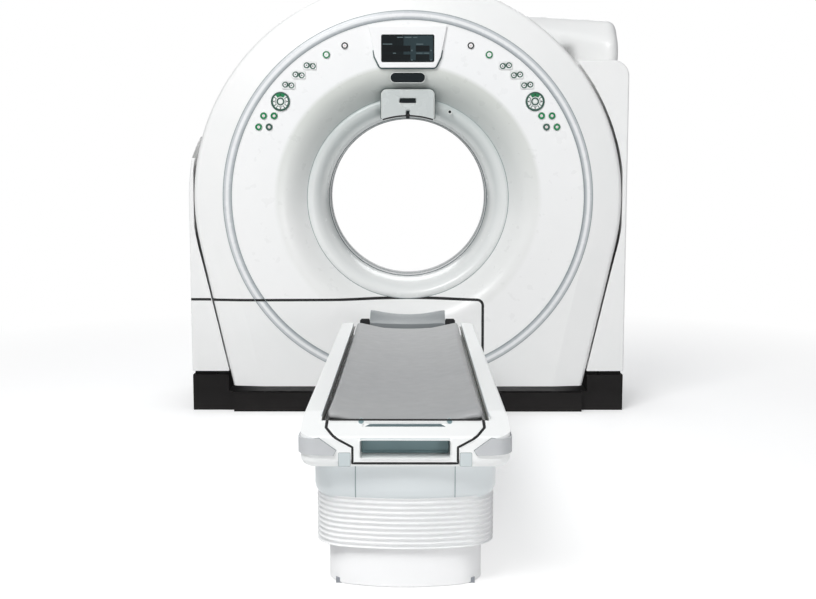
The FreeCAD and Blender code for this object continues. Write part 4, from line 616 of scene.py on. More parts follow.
def grown(name, seed, tree, material, sizes):
    """The plain mesh that a tree makes from a seed mesh."""
    carrier = plain_object(name + "_seed", seed)
    modifier = carrier.modifiers.new("grow", "NODES")
    modifier.node_group = tree
    for item in tree.interface.items_tree:
        if item.item_type != "SOCKET" or item.in_out != "INPUT" or item.socket_type == "NodeSocketGeometry":
            continue
        if item.name == "Material":
            modifier[item.identifier] = material
        else:
            modifier[item.identifier] = sizes.get(item.name, item.default_value)
    carrier.update_tag()
    mesh = evaluated_mesh(carrier)
    bpy.data.objects.remove(carrier)
    mesh.name = name
    return mesh


def settle(name, meshes, body):
    """One piece from one or more meshes, riding on a body."""
    joined = bmesh.new()
    materials = []
    for mesh in meshes:
        first = len(joined.faces)
        joined.from_mesh(mesh)
        joined.faces.ensure_lookup_table()
        places = []
        for material in mesh.materials:
            if material not in materials:
                materials.append(material)
            places.append(materials.index(material))
        for face in joined.faces[first:]:
            face.material_index = places[min(face.material_index, len(places) - 1)]
    whole = bpy.data.meshes.new(name)
    joined.to_mesh(whole)
    joined.free()
    for material in materials:
        whole.materials.append(material)
    made = plain_object(name, whole)
    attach(made, body)
    return made


def chain(points, closed=True):
    """A mesh of edges through the points."""
    mesh = bpy.data.meshes.new("path")
    count = len(points)
    edges = [(n, n + 1) for n in range(count - 1)]
    if closed:
        edges.append((count - 1, 0))
    mesh.from_pydata([tuple(p) for p in points], edges, [])
    return mesh


def at_angle(x, z, radius, degrees):
    """The point of a circle at an angle."""
    a = math.radians(degrees)
    return x + radius * math.cos(a), z + radius * math.sin(a)


def arc_points(x, z, radius, first, last, steps):
    """Points along a circle from one angle to another, in degrees."""
    return [at_angle(x, z, radius, first + (last - first) * n / steps) for n in range(steps + 1)]


def lofted(name, rings, material, closed=False, sharp=35.0):
    """A skin over equal rings of points; its ends are capped, or joined where it is closed."""
    bm = bmesh.new()
    rows = [[bm.verts.new(point) for point in ring] for ring in rings]
    join_rows(bm, rows + (rows[:1] if closed else []))
    if not closed:
        bm.faces.new(rows[0])
        bm.faces.new(rows[-1])
    bmesh.ops.recalc_face_normals(bm, faces=bm.faces)
    for face in bm.faces:
        face.smooth = True
    mesh = mesh_from(bm, name, material)
    mesh.set_sharp_from_angle(angle=math.radians(sharp))
    return mesh


def bowed_loop(half, y0, y1, corner, bow, z):
    """A rounded rectangle at a height, the corners of its foot side drawn back by the bow."""
    middle = (y0 + y1) / 2
    flat = []
    for cx, cy, first in ((half - corner, y0 + corner, -90), (half - corner, y1 - corner, 0),
                          (-half + corner, y1 - corner, 90), (-half + corner, y0 + corner, 180)):
        flat += arc_points(cx, cy, corner, first, first + 90, 10)
    span = half - corner
    flat += [(-span + 2 * span * n / 14, y0) for n in range(1, 14)]
    return [(x, y + bow * (x / half) ** 2 * max(0.0, (middle - y) / (middle - y0)), z) for x, y in flat]


def dots(points, facing=None):
    """A mesh of loose points, each with the way it faces."""
    mesh = bpy.data.meshes.new("dots")
    mesh.from_pydata([tuple(p) for p in points], [], [])
    if facing is not None:
        attribute = mesh.attributes.new("facing", "FLOAT_VECTOR", "POINT")
        for item, way in zip(attribute.data, facing):
            item.vector = way
    return mesh


def bead(points, material, width, rise=None, closed=True, sides=8):
    return grown("bead", chain(points, closed), BEAD, material,
                 {"Width": width, "Rise": rise or width, "Sides": sides})


def louvres(points, along):
    return grown("slats", dots(points), SLATS, JOINT_GREY, {"Along": along, "Width": 0.006, "Rise": 0.004})


def fasteners(name, points, facing, material, radius, rise, body):
    settle(name, [grown("caps", dots(points, facing), FASTENER, material, {"Radius": radius, "Rise": rise})],
           body)


def outwards(points):
    """The sideways direction away from the middle at each point."""
    return [(math.copysign(1.0, point[0]), 0.0, 0.0) for point in points]


def plate(outline, y, rise, material, crown=0.25):
    """A thin raised plate from an (x, z) outline, its rim softened, its front towards -Y."""
    bm = bmesh.new()
    mid_x = sum(p[0] for p in outline) / len(outline)
    mid_z = sum(p[1] for p in outline) / len(outline)
    turn = sum(a[0] * b[1] - b[0] * a[1] for a, b in zip(outline, outline[1:] + outline[:1]))
    ordered = outline if turn > 0 else outline[::-1]
    reach = max(math.hypot(p[0] - mid_x, p[1] - mid_z) for p in ordered)
    rims = []
    for inset, depth in ((0.0, 0.0), (0.0, rise * 0.6), (min(crown * rise, reach * 0.2), rise)):
        share = 1.0 - inset / reach
        rims.append([bm.verts.new((mid_x + (x - mid_x) * share, y - depth, mid_z + (z - mid_z) * share))
                     for x, z in ordered])
    join_rows(bm, rims)
    bm.faces.new(rims[-1])
    return mesh_from(bm, "plate", material)


def round_outline(x, z, radius, count=32):
    return arc_points(x, z, radius, 0.0, 360.0, count)[:-1]


def rect_outline(x0, x1, z0, z1, radius, steps=5):
    """A rectangle in (x, z) with rounded corners."""
    outline = []
    for cx, cz, first in ((x1 - radius, z0 + radius, -90), (x1 - radius, z1 - radius, 0),
                          (x0 + radius, z1 - radius, 90), (x0 + radius, z0 + radius, 180)):
        outline += arc_points(cx, cz, radius, first, first + 90, steps)
    return outline


def at_depth(outline, y):
    return [(x, y, z) for x, z in outline]


# ---- keys: coloured rings, lobes and glyphs on the caps ----
KEY_RING_RISE = 0.0016


def front_of(name):
    """Middle and front plane of a key."""
    low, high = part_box(name)
    return (low[0] + high[0]) / 2, low[1], (low[2] + high[2]) / 2, (high[0] - low[0]) / 2


def ringed(name, material, radius, band, centres=None):
    x, y, z, _ = front_of(name)
    return grown("ring", dots(centres or [(x, y, z)]), RING, material,
                 {"Radius": radius, "Band": band, "Rise": KEY_RING_RISE})


def dress_round(name, ring, centre, radius_share=0.68, band_share=0.56):
    x, y, z, r = front_of(name)
    parts = [ringed(name, ring, r * radius_share, r * band_share),
             plate(round_outline(x, z, r * 0.22, 20), y, 0.0009, centre)]
    settle(name + "_ring", parts, name)


def dress_rocker(name, side):
    """Two grey-green eyes joined by a bridge along the top, with a small dark glyph in each."""
    x, y, z, half = front_of(name)
    eye = half * 0.36
    gap = half * 0.47
    tilt = 0.12 * side
    centres = [(x - gap, y + 0.0004, z - gap * tilt), (x + gap, y + 0.0004, z + gap * tilt)]
    parts = [ringed(name, RING_DEEP, eye, half * 0.21, centres)]
    bridge = [(x - gap, z - gap * tilt + eye), (x, z + eye * 0.78), (x + gap, z + gap * tilt + eye)]
    parts.append(bead(at_depth(bridge, y), RING_DEEP, half * 0.2, 0.0014, closed=False))
    for cx, _, cz in centres:
        glyph = [(cx - eye * 0.36, cz - eye * 0.2), (cx + eye * 0.36, cz - eye * 0.2), (cx, cz + eye * 0.42)]
        parts.append(plate(glyph, y + 0.0002, 0.0006, GLYPH_DARK))
    settle(name + "_eyes", parts, name)


def dress_pad(name):
    """Four lobes round a double centre ring, the top one green, with small arrows."""
    x, y, z, r = front_of(name)

    def lobe(outer, inner, middle, half_sweep, depth, rise, material):
        first, last = middle - half_sweep, middle + half_sweep
        outline = (arc_points(x, z, r * outer, first, last, 12)
                   + arc_points(x, z, r * inner, first, last, 12)[::-1])
        return plate(outline, y - depth, rise, material, 0.0)

    parts = [ringed(name, RING_DEEP, r * 0.9, r * 0.19), ringed(name, RING_DEEP, r * 0.34, r * 0.15),
             ringed(name, RING_PALE, r * 0.2, r * 0.07)]
    for middle in (0, 90, 180, 270):
        top = middle == 90
        parts.append(lobe(0.84, 0.5, middle, 37, 0.0006, 0.0016, RING_GREEN if top else RING_SAGE))
        if not top:
            parts.append(lobe(0.78, 0.56, middle, 30, 0.0018, 0.0008, KEY_WHITE))
        a = math.radians(middle)
        tip = (x + r * 0.8 * math.cos(a), z + r * 0.8 * math.sin(a))
        side = (-math.sin(a) * r * 0.11, math.cos(a) * r * 0.11)
        foot = (x + r * 0.62 * math.cos(a), z + r * 0.62 * math.sin(a))
        arrow = [tip, (foot[0] + side[0], foot[1] + side[1]), (foot[0] - side[0], foot[1] - side[1])]
        parts.append(plate(arrow, y - 0.0022, 0.0010, GLYPH_DARK))
    settle(name + "_lobes", parts, name)


def make_key_marks():
    for label, side in KEY_SIDES:
        dress_round(label + "_stop_button", GLYPH_DARK, STOP_ROSE, 0.78, 0.36)
        dress_round(label + "_start_button", RING_GREEN, RING_PALE, 0.76, 0.36)
        for number in (1, 2, 3):
            dress_rocker(label + "_rocker_" + str(number), side)
        dress_pad(label + "_arrow_pad")
        for number in (1, 2, 3, 4):
            ring = RING_DEEP if number == 3 else RING_GREEN
            dress_round(label + "_round_button_" + str(number), ring, STOP_ROSE)


# ---- display, window and alignment block ----
def ui_bar(x0, x1, z0, z1, material, rise):
    low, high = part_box("display_screen")
    width = high[0] - low[0]
    height = high[2] - low[2]
    outline = rect_outline(low[0] + x0 * width, low[0] + x1 * width, high[2] - z1 * height,
                           high[2] - z0 * height, 0.0008, 2)
    return plate(outline, low[1], rise, material, 0.1)


def make_display():
    """The screen's plain fields and gasket, a painted shadow under the bezel and the window's pale rim."""
    parts = [ui_bar(0.42, 0.97, 0.04, 0.92, UI_PANEL, 0.0002)]
    for x0, x1, z0, z1 in ((0.03, 0.55, 0.40, 0.62), (0.03, 0.55, 0.72, 0.93), (0.65, 0.91, 0.40, 0.62),
                           (0.65, 0.91, 0.72, 0.93)):
        parts.append(ui_bar(x0, x1, z0, z1, UI_BOX, 0.0004))
    for x0, x1, z0, z1 in ((0.30, 0.41, 0.09, 0.12), (0.44, 0.57, 0.09, 0.12), (0.60, 0.68, 0.09, 0.12),
                           (0.03, 0.21, 0.33, 0.36), (0.66, 0.79, 0.33, 0.37), (0.22, 0.28, 0.66, 0.69),
                           (0.66, 0.78, 0.66, 0.69), (0.80, 0.90, 0.66, 0.69), (0.565, 0.59, 0.55, 0.60),
                           (0.565, 0.59, 0.90, 0.94), (0.925, 0.95, 0.55, 0.60), (0.925, 0.95, 0.90, 0.94)):
        parts.append(ui_bar(x0, x1, z0, z1, UI_LABEL, 0.0005))
    settle("display_fields", parts, "gantry")
    low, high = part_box("display_screen")
    rim = rect_outline(low[0], high[0], low[2], high[2], 0.008)
    settle("screen_gasket", [bead(at_depth(rim, low[1] - 0.0008), GASKET, 0.0016)], "gantry")
    low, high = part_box("display_bezel")
    # a dark teal band painted as the shadow under the bezel's lower edge
    corner = 0.022
    under = [(-BEZEL_WAIST - 0.004, BEZEL_WAIST_Z + 0.03), (-BEZEL_WAIST, BEZEL_WAIST_Z)]
    under += arc_points(-BEZEL_BOTTOM + corner * 0.6, low[2] + corner, corner, 200, 270, 6)
    full = under + [(-x, z) for x, z in under[::-1]]
    settle("bezel_shadow_gap", [bead(at_depth(full, high[1] - 0.012), TEAL_DARK, 0.007, 0.012, closed=False)],
           "gantry")
    low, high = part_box("indicator_window")
    pill = rect_outline(low[0], high[0], low[2], high[2], (high[2] - low[2]) / 2 - 0.0004, 10)
    settle("window_rim", [bead(at_depth(pill, low[1] + 0.002), RIM_PALE, 0.0042, 0.005, sides=12)], "gantry")


def make_alignment_block():
    """The lamp's block with its foot cut to the tunnel's circle."""
    piece = plain_object("lamp_block", closed_copy("alignment_block"))
    bm = bmesh.new()
    along = Matrix.Translation((0.0, 0.0, ISO_Z)) @ Matrix.Rotation(math.pi / 2, 4, "X")
    bmesh.ops.create_cone(bm, cap_ends=True, segments=192, radius1=BLOCK_FOOT_R, radius2=BLOCK_FOOT_R,
                          depth=1.0, matrix=along)
    tunnel = plain_object("tunnel", mesh_from(bm, "tunnel"))
    cut = piece.modifiers.new("foot", "BOOLEAN")
    cut.operation = "DIFFERENCE"
    cut.solver = "EXACT"
    cut.object = tunnel
    shaped = evaluated_mesh(piece)
    piece.modifiers.clear()
    bpy.data.objects.remove(tunnel)
    shaped.materials.clear()
    shaped.materials.append(BLOCK_GREY)
    shaped.set_sharp_from_angle(angle=math.radians(28))
    piece.data = shaped
    even = piece.modifiers.new("even_faces", "WEIGHTED_NORMAL")
    even.weight = 100
    even.keep_sharp = True
    smooth = evaluated_mesh(piece)
    piece.modifiers.clear()
    piece.data = smooth
    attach(piece, "gantry")
    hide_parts("alignment_block")


def make_alignment_details():
    """The block's slot, keyhole slot, foot seal, a pale rim that is a painted highlight, and a dark band
    round it that is a painted shadow.
    """
    low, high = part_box("alignment_block")
    y = low[1]
    slot_z0 = ISO_Z + 0.432
    slot_z1 = ISO_Z + 0.456
    slot = [(-0.0385, slot_z0 + 0.002), (0.0385, slot_z0 + 0.002), (0.034, slot_z1 - 0.002),
            (-0.034, slot_z1 - 0.002)]
    settle("lamp_slot_glass", [plate(slot, y + 0.006, 0.0012, WINDOW_DARK)], "gantry")
    # a pale bead under the slot: painted highlight on the slot's lower lip
    lip = [(-0.041, slot_z0 - 0.001), (-0.02, slot_z0 - 0.0028), (0.02, slot_z0 - 0.0028),
           (0.041, slot_z0 - 0.001)]
    settle("lamp_slot_lip", [bead(at_depth(lip, y), RIM_PALE, 0.0045, 0.003, closed=False, sides=10)],
           "gantry")
    key_low = ISO_Z + 0.364
    key = [(-0.0072, key_low + 0.034), (0.0072, key_low + 0.034), (0.0064, key_low + 0.022),
           (0.0094, key_low), (-0.0094, key_low), (-0.0064, key_low + 0.022)]
    settle("laser_window", [plate(key, y + 0.006, 0.0012, WINDOW_DARK)], "gantry")
    arc = arc_points(0.0, ISO_Z, 0.3785, 72.3, 107.7, 24)
    settle("block_foot_seal", [bead(at_depth(arc, y + 0.006), GASKET, 0.0065, 0.012, closed=False, sides=10)],
           "gantry")
    # pale bead along the block's rounded edges: painted highlight
    side = arc_points(-0.119 + 0.022, high[2] - 0.022, 0.0232, 180, 90, 12)
    rim = [(-0.1202, ISO_Z + 0.366)] + side + [(-x, z) for x, z in side[::-1]] + [(0.1202, ISO_Z + 0.366)]
    settle("block_rim", [bead(at_depth(rim, y + 0.004), RIM_PALE, 0.003, 0.005, closed=False, sides=10)],
           "gantry")
    # a dark teal band round the block: painted shadow
    outer = [(x * 1.022, z + (0.003 if z > ISO_Z + 0.38 else 0.0)) for x, z in rim]
    settle("block_shadow_gap", [bead(at_depth(outer, y + 0.055), TEAL_DARK, 0.006, 0.09, closed=False)],
           "gantry")


def ring_points(radius, y, count=160):
    return at_depth(round_outline(0.0, ISO_Z, radius, count), y)


def make_tunnel_trim():
    """Shadow joint between dish and bore ring, the inner bead, the scan window and trim ring lines."""
    for name, beads in (
            ("dish_joint", [bead(ring_points(0.4655, -0.2965), SEAM_TEAL, 0.0036, 0.003)]),
            ("bore_bead", [bead(ring_points(0.3762, -0.126), TEAL_DARK, 0.0066, 0.0066)]),
            ("scan_window_edges", [bead(ring_points(0.3744, y), TEAL_DARK, 0.0012) for y in (-0.022, 0.022)]),
            ("trim_ring_inner_line", [bead(ring_points(0.8008, -0.4012, 220), SEAM_TEAL, 0.0022)]),
            ("trim_ring_outer_line", [bead(ring_points(0.8408, -0.4004, 220), SEAM_TEAL, 0.0022)])):
        settle(name, beads, "gantry")


def make_pin_hole():
    """The small microphone hole right of the block, in its pale ring."""
    x, y, z = 0.192, -0.3235, ISO_Z + 0.395
    settle("microphone", [plate(round_outline(x, z, 0.0065, 20), y, 0.0012, WINDOW_DARK),
                          grown("ring", dots([(x, y, z)]), RING, RIM_PALE,
                                {"Radius": 0.0085, "Band": 0.003, "Rise": 0.002})], "gantry")


# ---- patient table ----
def slope_depth(z):
    """Depth of the frame's foot end at a height: level end face, nose, then the slope."""
    if z <= 0.427:
        return -2.790
    if z <= 0.431:
        return -2.790 + (z - 0.427)
    return -2.786 + (z - 0.431) * FOOT_SLOPE


def fine_chain(points, step=0.006):
    """The same chain with points at most a step apart."""
    fine = [points[0]]
    for a, b in zip(points, points[1:]):
        count = max(1, int(math.ceil((Vector(b) - Vector(a)).length / step)))
        fine += [tuple(Vector(a).lerp(Vector(b), n / count)) for n in range(1, count + 1)]
    return fine


def make_foot_end():
    """The open joint about the insert, painted shade in its recess, pocket and finger holes, a painted shadow
    under the mattress's end, and the covers.
    """
    wide, narrow = 0.2125, 0.1395
    z_wide, z_narrow, z_low = 0.443, 0.4025, 0.3595
    half = [(wide, 0.452), (wide, z_wide), (wide - 0.001, z_wide - 0.001), (narrow, z_narrow),
            (narrow, z_low)]
    outline = [(-x, z) for x, z in half] + [(x, z) for x, z in half[::-1]]
    path = [(p[0], slope_depth(p[2]) + 0.0022, p[2]) for p in fine_chain([(x, 0.0, z) for x, z in outline])]
    settle("insert_joint", [bead(path, GASKET, 0.0086, 0.0076, closed=False)], "couch")

    x, z0, z1 = 0.120, 0.372, 0.421       # the pocket's mouth
    back = rect_outline(0.0012 - x, x - 0.0012, z0 + 0.0012, z1 - 0.0012, 0.006)
    inner = rect_outline(0.006 - x, x - 0.006, z0 + 0.006, z1 - 0.010, 0.004)
    brow = rect_outline(0.001 - x, x - 0.001, z1 - 0.0005, z1 + 0.0055, 0.002, 3)
    # teal plate and bead painted as the shade inside the pocket, and a brow plate of painted shade on the lip
    # above it
    settle("pocket_back", [plate(back, -2.7305, 0.003, POCKET_PAINTED_SHADE),
                           bead(at_depth(inner, -2.736), POCKET_PAINTED_SHADE, 0.004),
                           plate(brow, -2.7899, 0.0008, COUCH_SHADE)], "couch")
    # a dark plate painted as the shade in the recess
    recess = []
    for share in (0.0, 0.5, 1.0):
        y = -2.7275 + 0.022 * share
        half_w = 0.114 - 0.018 * share
        z = 0.431 + (y + 2.786) / FOOT_SLOPE - 0.0034
        recess.append([(-half_w, y, z), (half_w, y, z), (half_w, y, z - 0.002), (-half_w, y, z - 0.002)])
    settle("recess_painted_shade", [lofted("recess", recess, RECESS_PAINTED_SHADE)], "couch")
    # a black bead along the trough's end wall, painted as the shadow line under the mattress's end
    wall_top = [(-0.205, -2.6912, 0.4548), (0.205, -2.6912, 0.4548)]
    settle("mattress_end_painted_shadow", [bead(fine_chain(wall_top, 0.05), GASKET, 0.006, 0.006, closed=False)], "couch")
    lip = rect_outline(-x - 0.0015, x + 0.0015, z0 - 0.0015, z1 + 0.0015, 0.007)
    settle("pocket_rim", [bead(at_depth(lip, -2.7905), COUCH_WHITE, 0.0032, 0.0026, sides=10)], "couch")

    holes = []
    for side in (-1, 1):
        ring = [(side * 0.120 + 0.0075 * math.cos(math.radians(15 * n)),
                 0.4525 + 0.0042 * math.sin(math.radians(15 * n))) for n in range(24)]
        # a teal disc painted as the shade inside each finger hole
        bm = bmesh.new()
        bm.faces.new([bm.verts.new((hx, slope_depth(hz) + 0.0002, hz + 0.0004)) for hx, hz in ring])
        holes.append(mesh_from(bm, "finger hole", POCKET_PAINTED_SHADE))
        holes.append(bead([(hx, slope_depth(hz), hz) for hx, hz in ring], COUCH_SHADE, 0.0016))
    settle("finger_holes", holes, "couch")

    covers = []
    for x0, x1 in ((-0.1765, -0.1455), (0.1455, 0.1765)):
        outline = rect_outline(x0, x1, 0.3515, 0.3875, 0.002, 3)
        covers.append(plate(outline, -2.7898, 0.0012, COUCH_SHADE))
        covers.append(bead(at_depth(outline, -2.7901), JOINT_GREY, 0.0014))
    settle("end_covers", covers, "couch")


def make_bumper_seams():
    """A fine dark joint round each corner guard, as the guard's outline meets the frame."""
    front = ((0.240, 0.4262), (0.228, 0.4275), (0.1825, 0.3943), (0.1905, 0.3805), (0.240, 0.3822))
    settle("guard_joints", [bead([(side * x, -2.7905, z) for x, z in front], JOINT_GREY, 0.0018, closed=False)
                            for side in (-1, 1)], "couch")


MERGE_DISTANCE = 0.00005


def closed_copy(name):
    """A merged copy of a CAD solid's mesh."""
    mesh = nodes[name].data.copy()
    bm = bmesh.new()
    bm.from_mesh(mesh)
    bmesh.ops.remove_doubles(bm, verts=bm.verts, dist=MERGE_DISTANCE)
    bm.to_mesh(mesh)
    bm.free()
    mesh.materials.clear()
    return mesh


MATTRESS_VOXEL = 0.009
MATTRESS_SWELL = 0.0045     # the most that cloth pressure moves a point
MATTRESS_PRESSURE = 3.0
MATTRESS_FRAMES = 14
MATTRESS_WIDENING = 1.026
MATTRESS_LIFT_Y = -2.59     # from here to the foot the pad curls up


def remeshed(piece, voxel):
    """Give an object one even mesh of small squares."""
    modifier = piece.modifiers.new("even", "REMESH")
    modifier.mode = "VOXEL"
    modifier.voxel_size = voxel
    modifier.use_smooth_shade = True
    mesh = evaluated_mesh(piece)
    piece.modifiers.remove(modifier)
    piece.data = mesh


def smoothed(piece, rounds, material):
    """Soften an object's mesh, shade it smooth and give it its material."""
    bm = bmesh.new()
    bm.from_mesh(piece.data)
    for _ in range(rounds):
        bmesh.ops.smooth_vert(bm, verts=bm.verts, factor=0.5, use_axis_x=True, use_axis_y=True,
                              use_axis_z=True)
    for face in bm.faces:
        face.smooth = True
    bm.to_mesh(piece.data)
    bm.free()
    piece.data.materials.clear()
    piece.data.materials.append(material)


def swollen(piece, pinned_below):
    """Let the pad fill out as cloth under pressure, each point held within the cap."""
    rest = [v.co.copy() for v in piece.data.vertices]
    pins = piece.vertex_groups.new(name="held")
    pins.add([n for n, co in enumerate(rest) if co.z < pinned_below(co)], 1.0, "REPLACE")
    cloth = piece.modifiers.new("fill", "CLOTH")
    settings = cloth.settings
    for label, value in (("quality", 4), ("mass", 0.3), ("tension_stiffness", 30),
                         ("compression_stiffness", 30), ("shear_stiffness", 15), ("bending_stiffness", 2),
                         ("use_pressure", True), ("uniform_pressure_force", MATTRESS_PRESSURE),
                         ("vertex_group_mass", "held")):
        setattr(settings, label, value)
    settings.effector_weights.gravity = 0.0
    cloth.collision_settings.use_collision = False
    cloth.collision_settings.use_self_collision = False
    cloth.point_cache.frame_start = 1
    cloth.point_cache.frame_end = MATTRESS_FRAMES
    scene = bpy.context.scene
    for frame_number in range(1, MATTRESS_FRAMES + 1):
        scene.frame_set(frame_number)
    depsgraph = bpy.context.evaluated_depsgraph_get()
    filled = piece.evaluated_get(depsgraph).to_mesh()
    moved = [v.co.copy() for v in filled.vertices]
    piece.evaluated_get(depsgraph).to_mesh_clear()
    piece.modifiers.remove(cloth)
    scene.frame_set(1)
    for vertex, old, new in zip(piece.data.vertices, rest, moved):
        step = new - old
        if step.length > MATTRESS_SWELL:
            step *= MATTRESS_SWELL / step.length
        vertex.co = old + step
    piece.vertex_groups.clear()


def make_mattress():
    """The dished pad, filled by cloth pressure, dark strips of painted shade beside it and the tabletop's
    shoulders.
    """
    mesh = closed_copy("mattress")
    for vertex in mesh.vertices:
        vertex.co.x *= MATTRESS_WIDENING
        lift = min(max((MATTRESS_LIFT_Y - vertex.co.y) / 0.07, 0.0), 1.0)
        vertex.co.z += 0.009 * lift * lift
        vertex.co.y -= 0.006 * lift
    piece = plain_object("mattress_pad", mesh)
    remeshed(piece, MATTRESS_VOXEL)
    low_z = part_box("mattress")[0][2]
    swollen(piece, lambda co: low_z + 0.012 + 0.022 * (co.x / 0.21) ** 2)
    smoothed(piece, 2, MATTRESS_GREY)
    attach(piece, "cradle")
    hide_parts("mattress")

    # painted shade: dark strips in the gaps between the mattress and the rails
    settle("trough_side_painted_shade", [bead([(x, -2.688, 0.450), (x, -0.802, 0.450)], TROUGH_PAINTED_SHADE, 0.0034,
                                      closed=False) for x in (-TROUGH_HALF, TROUGH_HALF)],
           "couch")
    tabs = []
    for side in (-1, 1):
        rings = [[(side * x, -0.7985, 0.452), (side * x, -0.7985, top), (side * x, -0.7915, top),
                  (side * x, -0.7915, 0.452)]
                 for x, top in ((0.1605, 0.474), (0.163, 0.4835), (0.196, 0.4835), (0.203, 0.476))]
        tabs.append(lofted("tab", rings, CARBON))
    settle("tabletop_shoulders", tabs, "cradle")


def make_headrest():
    """A shallow scoop that rises from the mattress's end."""
    low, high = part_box("headrest")
    rings = []
    steps = 16
    for n in range(steps + 1):
        share = n / steps
        rise = share * share * (3 - 2 * share)
        end = 1 - abs(2 * share - 1) ** 8
        half = high[0] * (0.985 + 0.015 * end)
        top = low[2] + (high[2] - low[2]) * (0.5 + 0.5 * rise) - 0.003 * (1 - end)
        sag = 0.007 + 0.015 * rise
        y = low[1] + (high[1] - low[1]) * share
        upper = [(half * x / 12, y, top - sag * (1 - (x / 12) ** 2) - 0.004 * abs(x / 12) ** 14)
                 for x in range(12, -13, -1)]
        rings.append([(-half, y, low[2]), (half, y, low[2])] + upper)
    piece = plain_object("headrest_scoop", lofted("headrest_scoop", rings, HEADREST_GREY, sharp=48.0))
    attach(piece, "cradle")
    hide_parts("headrest")


BELLOWS_BOTTOM = 0.1123
BELLOWS_RISE = 0.1402
FOOT_BOW = 0.045            # how far the foot side's corners are drawn back


def bowed_shell(name, node, steps, corner, material):
    """A bowed shell within a node's box, from pairs of height and inset."""
    low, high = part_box(node)
    rings = [bowed_loop(high[0] - inset, low[1] + inset, high[1] - inset, corner - inset, FOOT_BOW, z)
             for z, inset in steps]
    return plain_object(name, lofted(name, rings, material, closed=True))


def make_casing():
    """The deep cover under the frame, swelling towards the foot, with a rolled lower edge."""
    low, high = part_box("couch_casing")
    z0 = low[2]
    steps = ((high[2], 0.0), (z0 + 0.034, 0.0), (z0 + 0.019, 0.003), (z0 + 0.009, 0.009), (z0 + 0.002, 0.017),
             (z0, 0.0215), (z0 + 0.003, 0.0225), (z0 + 0.02, 0.012), (high[2], 0.012))
    piece = bowed_shell("foot_casing", "couch_casing", steps, 0.062, CASING_GREY)
    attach(piece, "couch")
    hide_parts("couch_casing")
    x = 0.134
    y = low[1] + FOOT_BOW * (x / high[0]) ** 2 - 0.0002
    line = ((y, high[2] - 0.001), (y, z0 + 0.034), (y + 0.003, z0 + 0.019), (y + 0.009, z0 + 0.009))
    settle("casing_joints", [bead([(side * x, py, pz) for py, pz in line], JOINT_TEAL, 0.0022, closed=False)
                             for side in (-1, 1)], "couch")


def make_plinth():
    """The pedestal's floor box, bowed like the casing above it."""
    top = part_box("table_plinth")[1][2]
    steps = ((0.0, 0.004), (0.004, 0.0), (top - 0.006, 0.0), (top - 0.0018, 0.0018), (top, 0.006),
             (top, 0.05), (top - 0.006, 0.05), (top - 0.006, 0.006), (0.0, 0.006))
    piece = bowed_shell("pedestal_box", "table_plinth", steps, 0.06, PLINTH_WHITE)
    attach(piece, "stand")
    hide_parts("table_plinth")


def make_bellows():
    """Ten soft pleats about the lift columns."""
    loop = bowed_loop(0.2355, -2.7445, -1.3955, 0.062, FOOT_BOW, BELLOWS_BOTTOM)
    piece = plain_object("bellows_sleeve", grown("pleats", chain(loop), SLEEVE, BELLOWS_WHITE, {
        "Height": BELLOWS_RISE, "Folds": 10.0, "Fold Depth": 0.0075, "Samples": 141}))
    thick = piece.modifiers.new("wall", "SOLIDIFY")
    thick.thickness = 0.0014
    thick.offset = -1.0
    solid = evaluated_mesh(piece)
    piece.modifiers.clear()
    piece.data = solid
    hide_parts("bellows")
    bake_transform(piece)


def make_table_trim():
    """Lines along the frame's sides and rails, and the fasteners of the casing."""
    parts = []
    for side in (-1, 1):
        for x, z, y0, y1, material, width in ((0.2806, 0.374, -2.66, -0.84, JOINT_GREY, 0.0022),
                                              (0.2282, 0.4655, -2.69, -0.802, COUCH_SHADE, 0.003)):
            parts.append(bead([(side * x, y0, z), (side * x, y1, z)], material, width, closed=False))
    settle("frame_side_lines", parts, "couch")
    caps = [(side * 0.2490, y, 0.318) for side in (-1, 1) for y in (-2.50, -2.16, -1.82, -1.52)]
    fasteners("casing_caps", caps, outwards(caps), COUCH_SHADE, 0.007, 0.0018, "couch")


# ---- covers, back and sides ----
COVER_LEAN = math.radians(12.5)   # of the legs' sides
COVER_R = 0.979             # front cover, and the circle where its rounded edge starts
COVER_FLAT_R = 0.840
COVER_EDGE_GROWTH = 0.120
COVER_FRONT_Y = -0.400
COVER_EDGE_Y = -0.382
COVER_BACK_Y = -0.110
COVER_FOOT = -0.864         # below the tilt axis
LEFT_TIP_X = 0.9856         # back of the left lip above the axis
TILT_HALF_DEGREES = range(-40, 61)
HOUSING_VOXEL = 0.013
HOUSING_ROUNDS = 14


def cover_half_width(y, z):
    """Half-width of the front cover at a depth and a height above the tilt axis, 0 off the cover."""
    if not COVER_FRONT_Y <= y <= COVER_BACK_Y or z < COVER_FOOT:
        return 0.0
    radius = COVER_R
    if y < COVER_EDGE_Y:
        radius = COVER_FLAT_R + COVER_EDGE_GROWTH * (y - COVER_FRONT_Y) / (COVER_EDGE_Y - COVER_FRONT_Y)
    knee = -radius * math.sin(COVER_LEAN)
    if z >= knee:
        return math.sqrt(max(radius ** 2 - z ** 2, 0.0))
    return radius * math.cos(COVER_LEAN) - (knee - z) * math.tan(COVER_LEAN)


def swept_half_width(y, z):
    """Half-width that the cover reaches at a fixed point over its whole tilt."""
    turns = [math.radians(half / 2) for half in TILT_HALF_DEGREES]
    return max(cover_half_width(y * math.cos(a) + z * math.sin(a), z * math.cos(a) - y * math.sin(a))
               for a in turns)


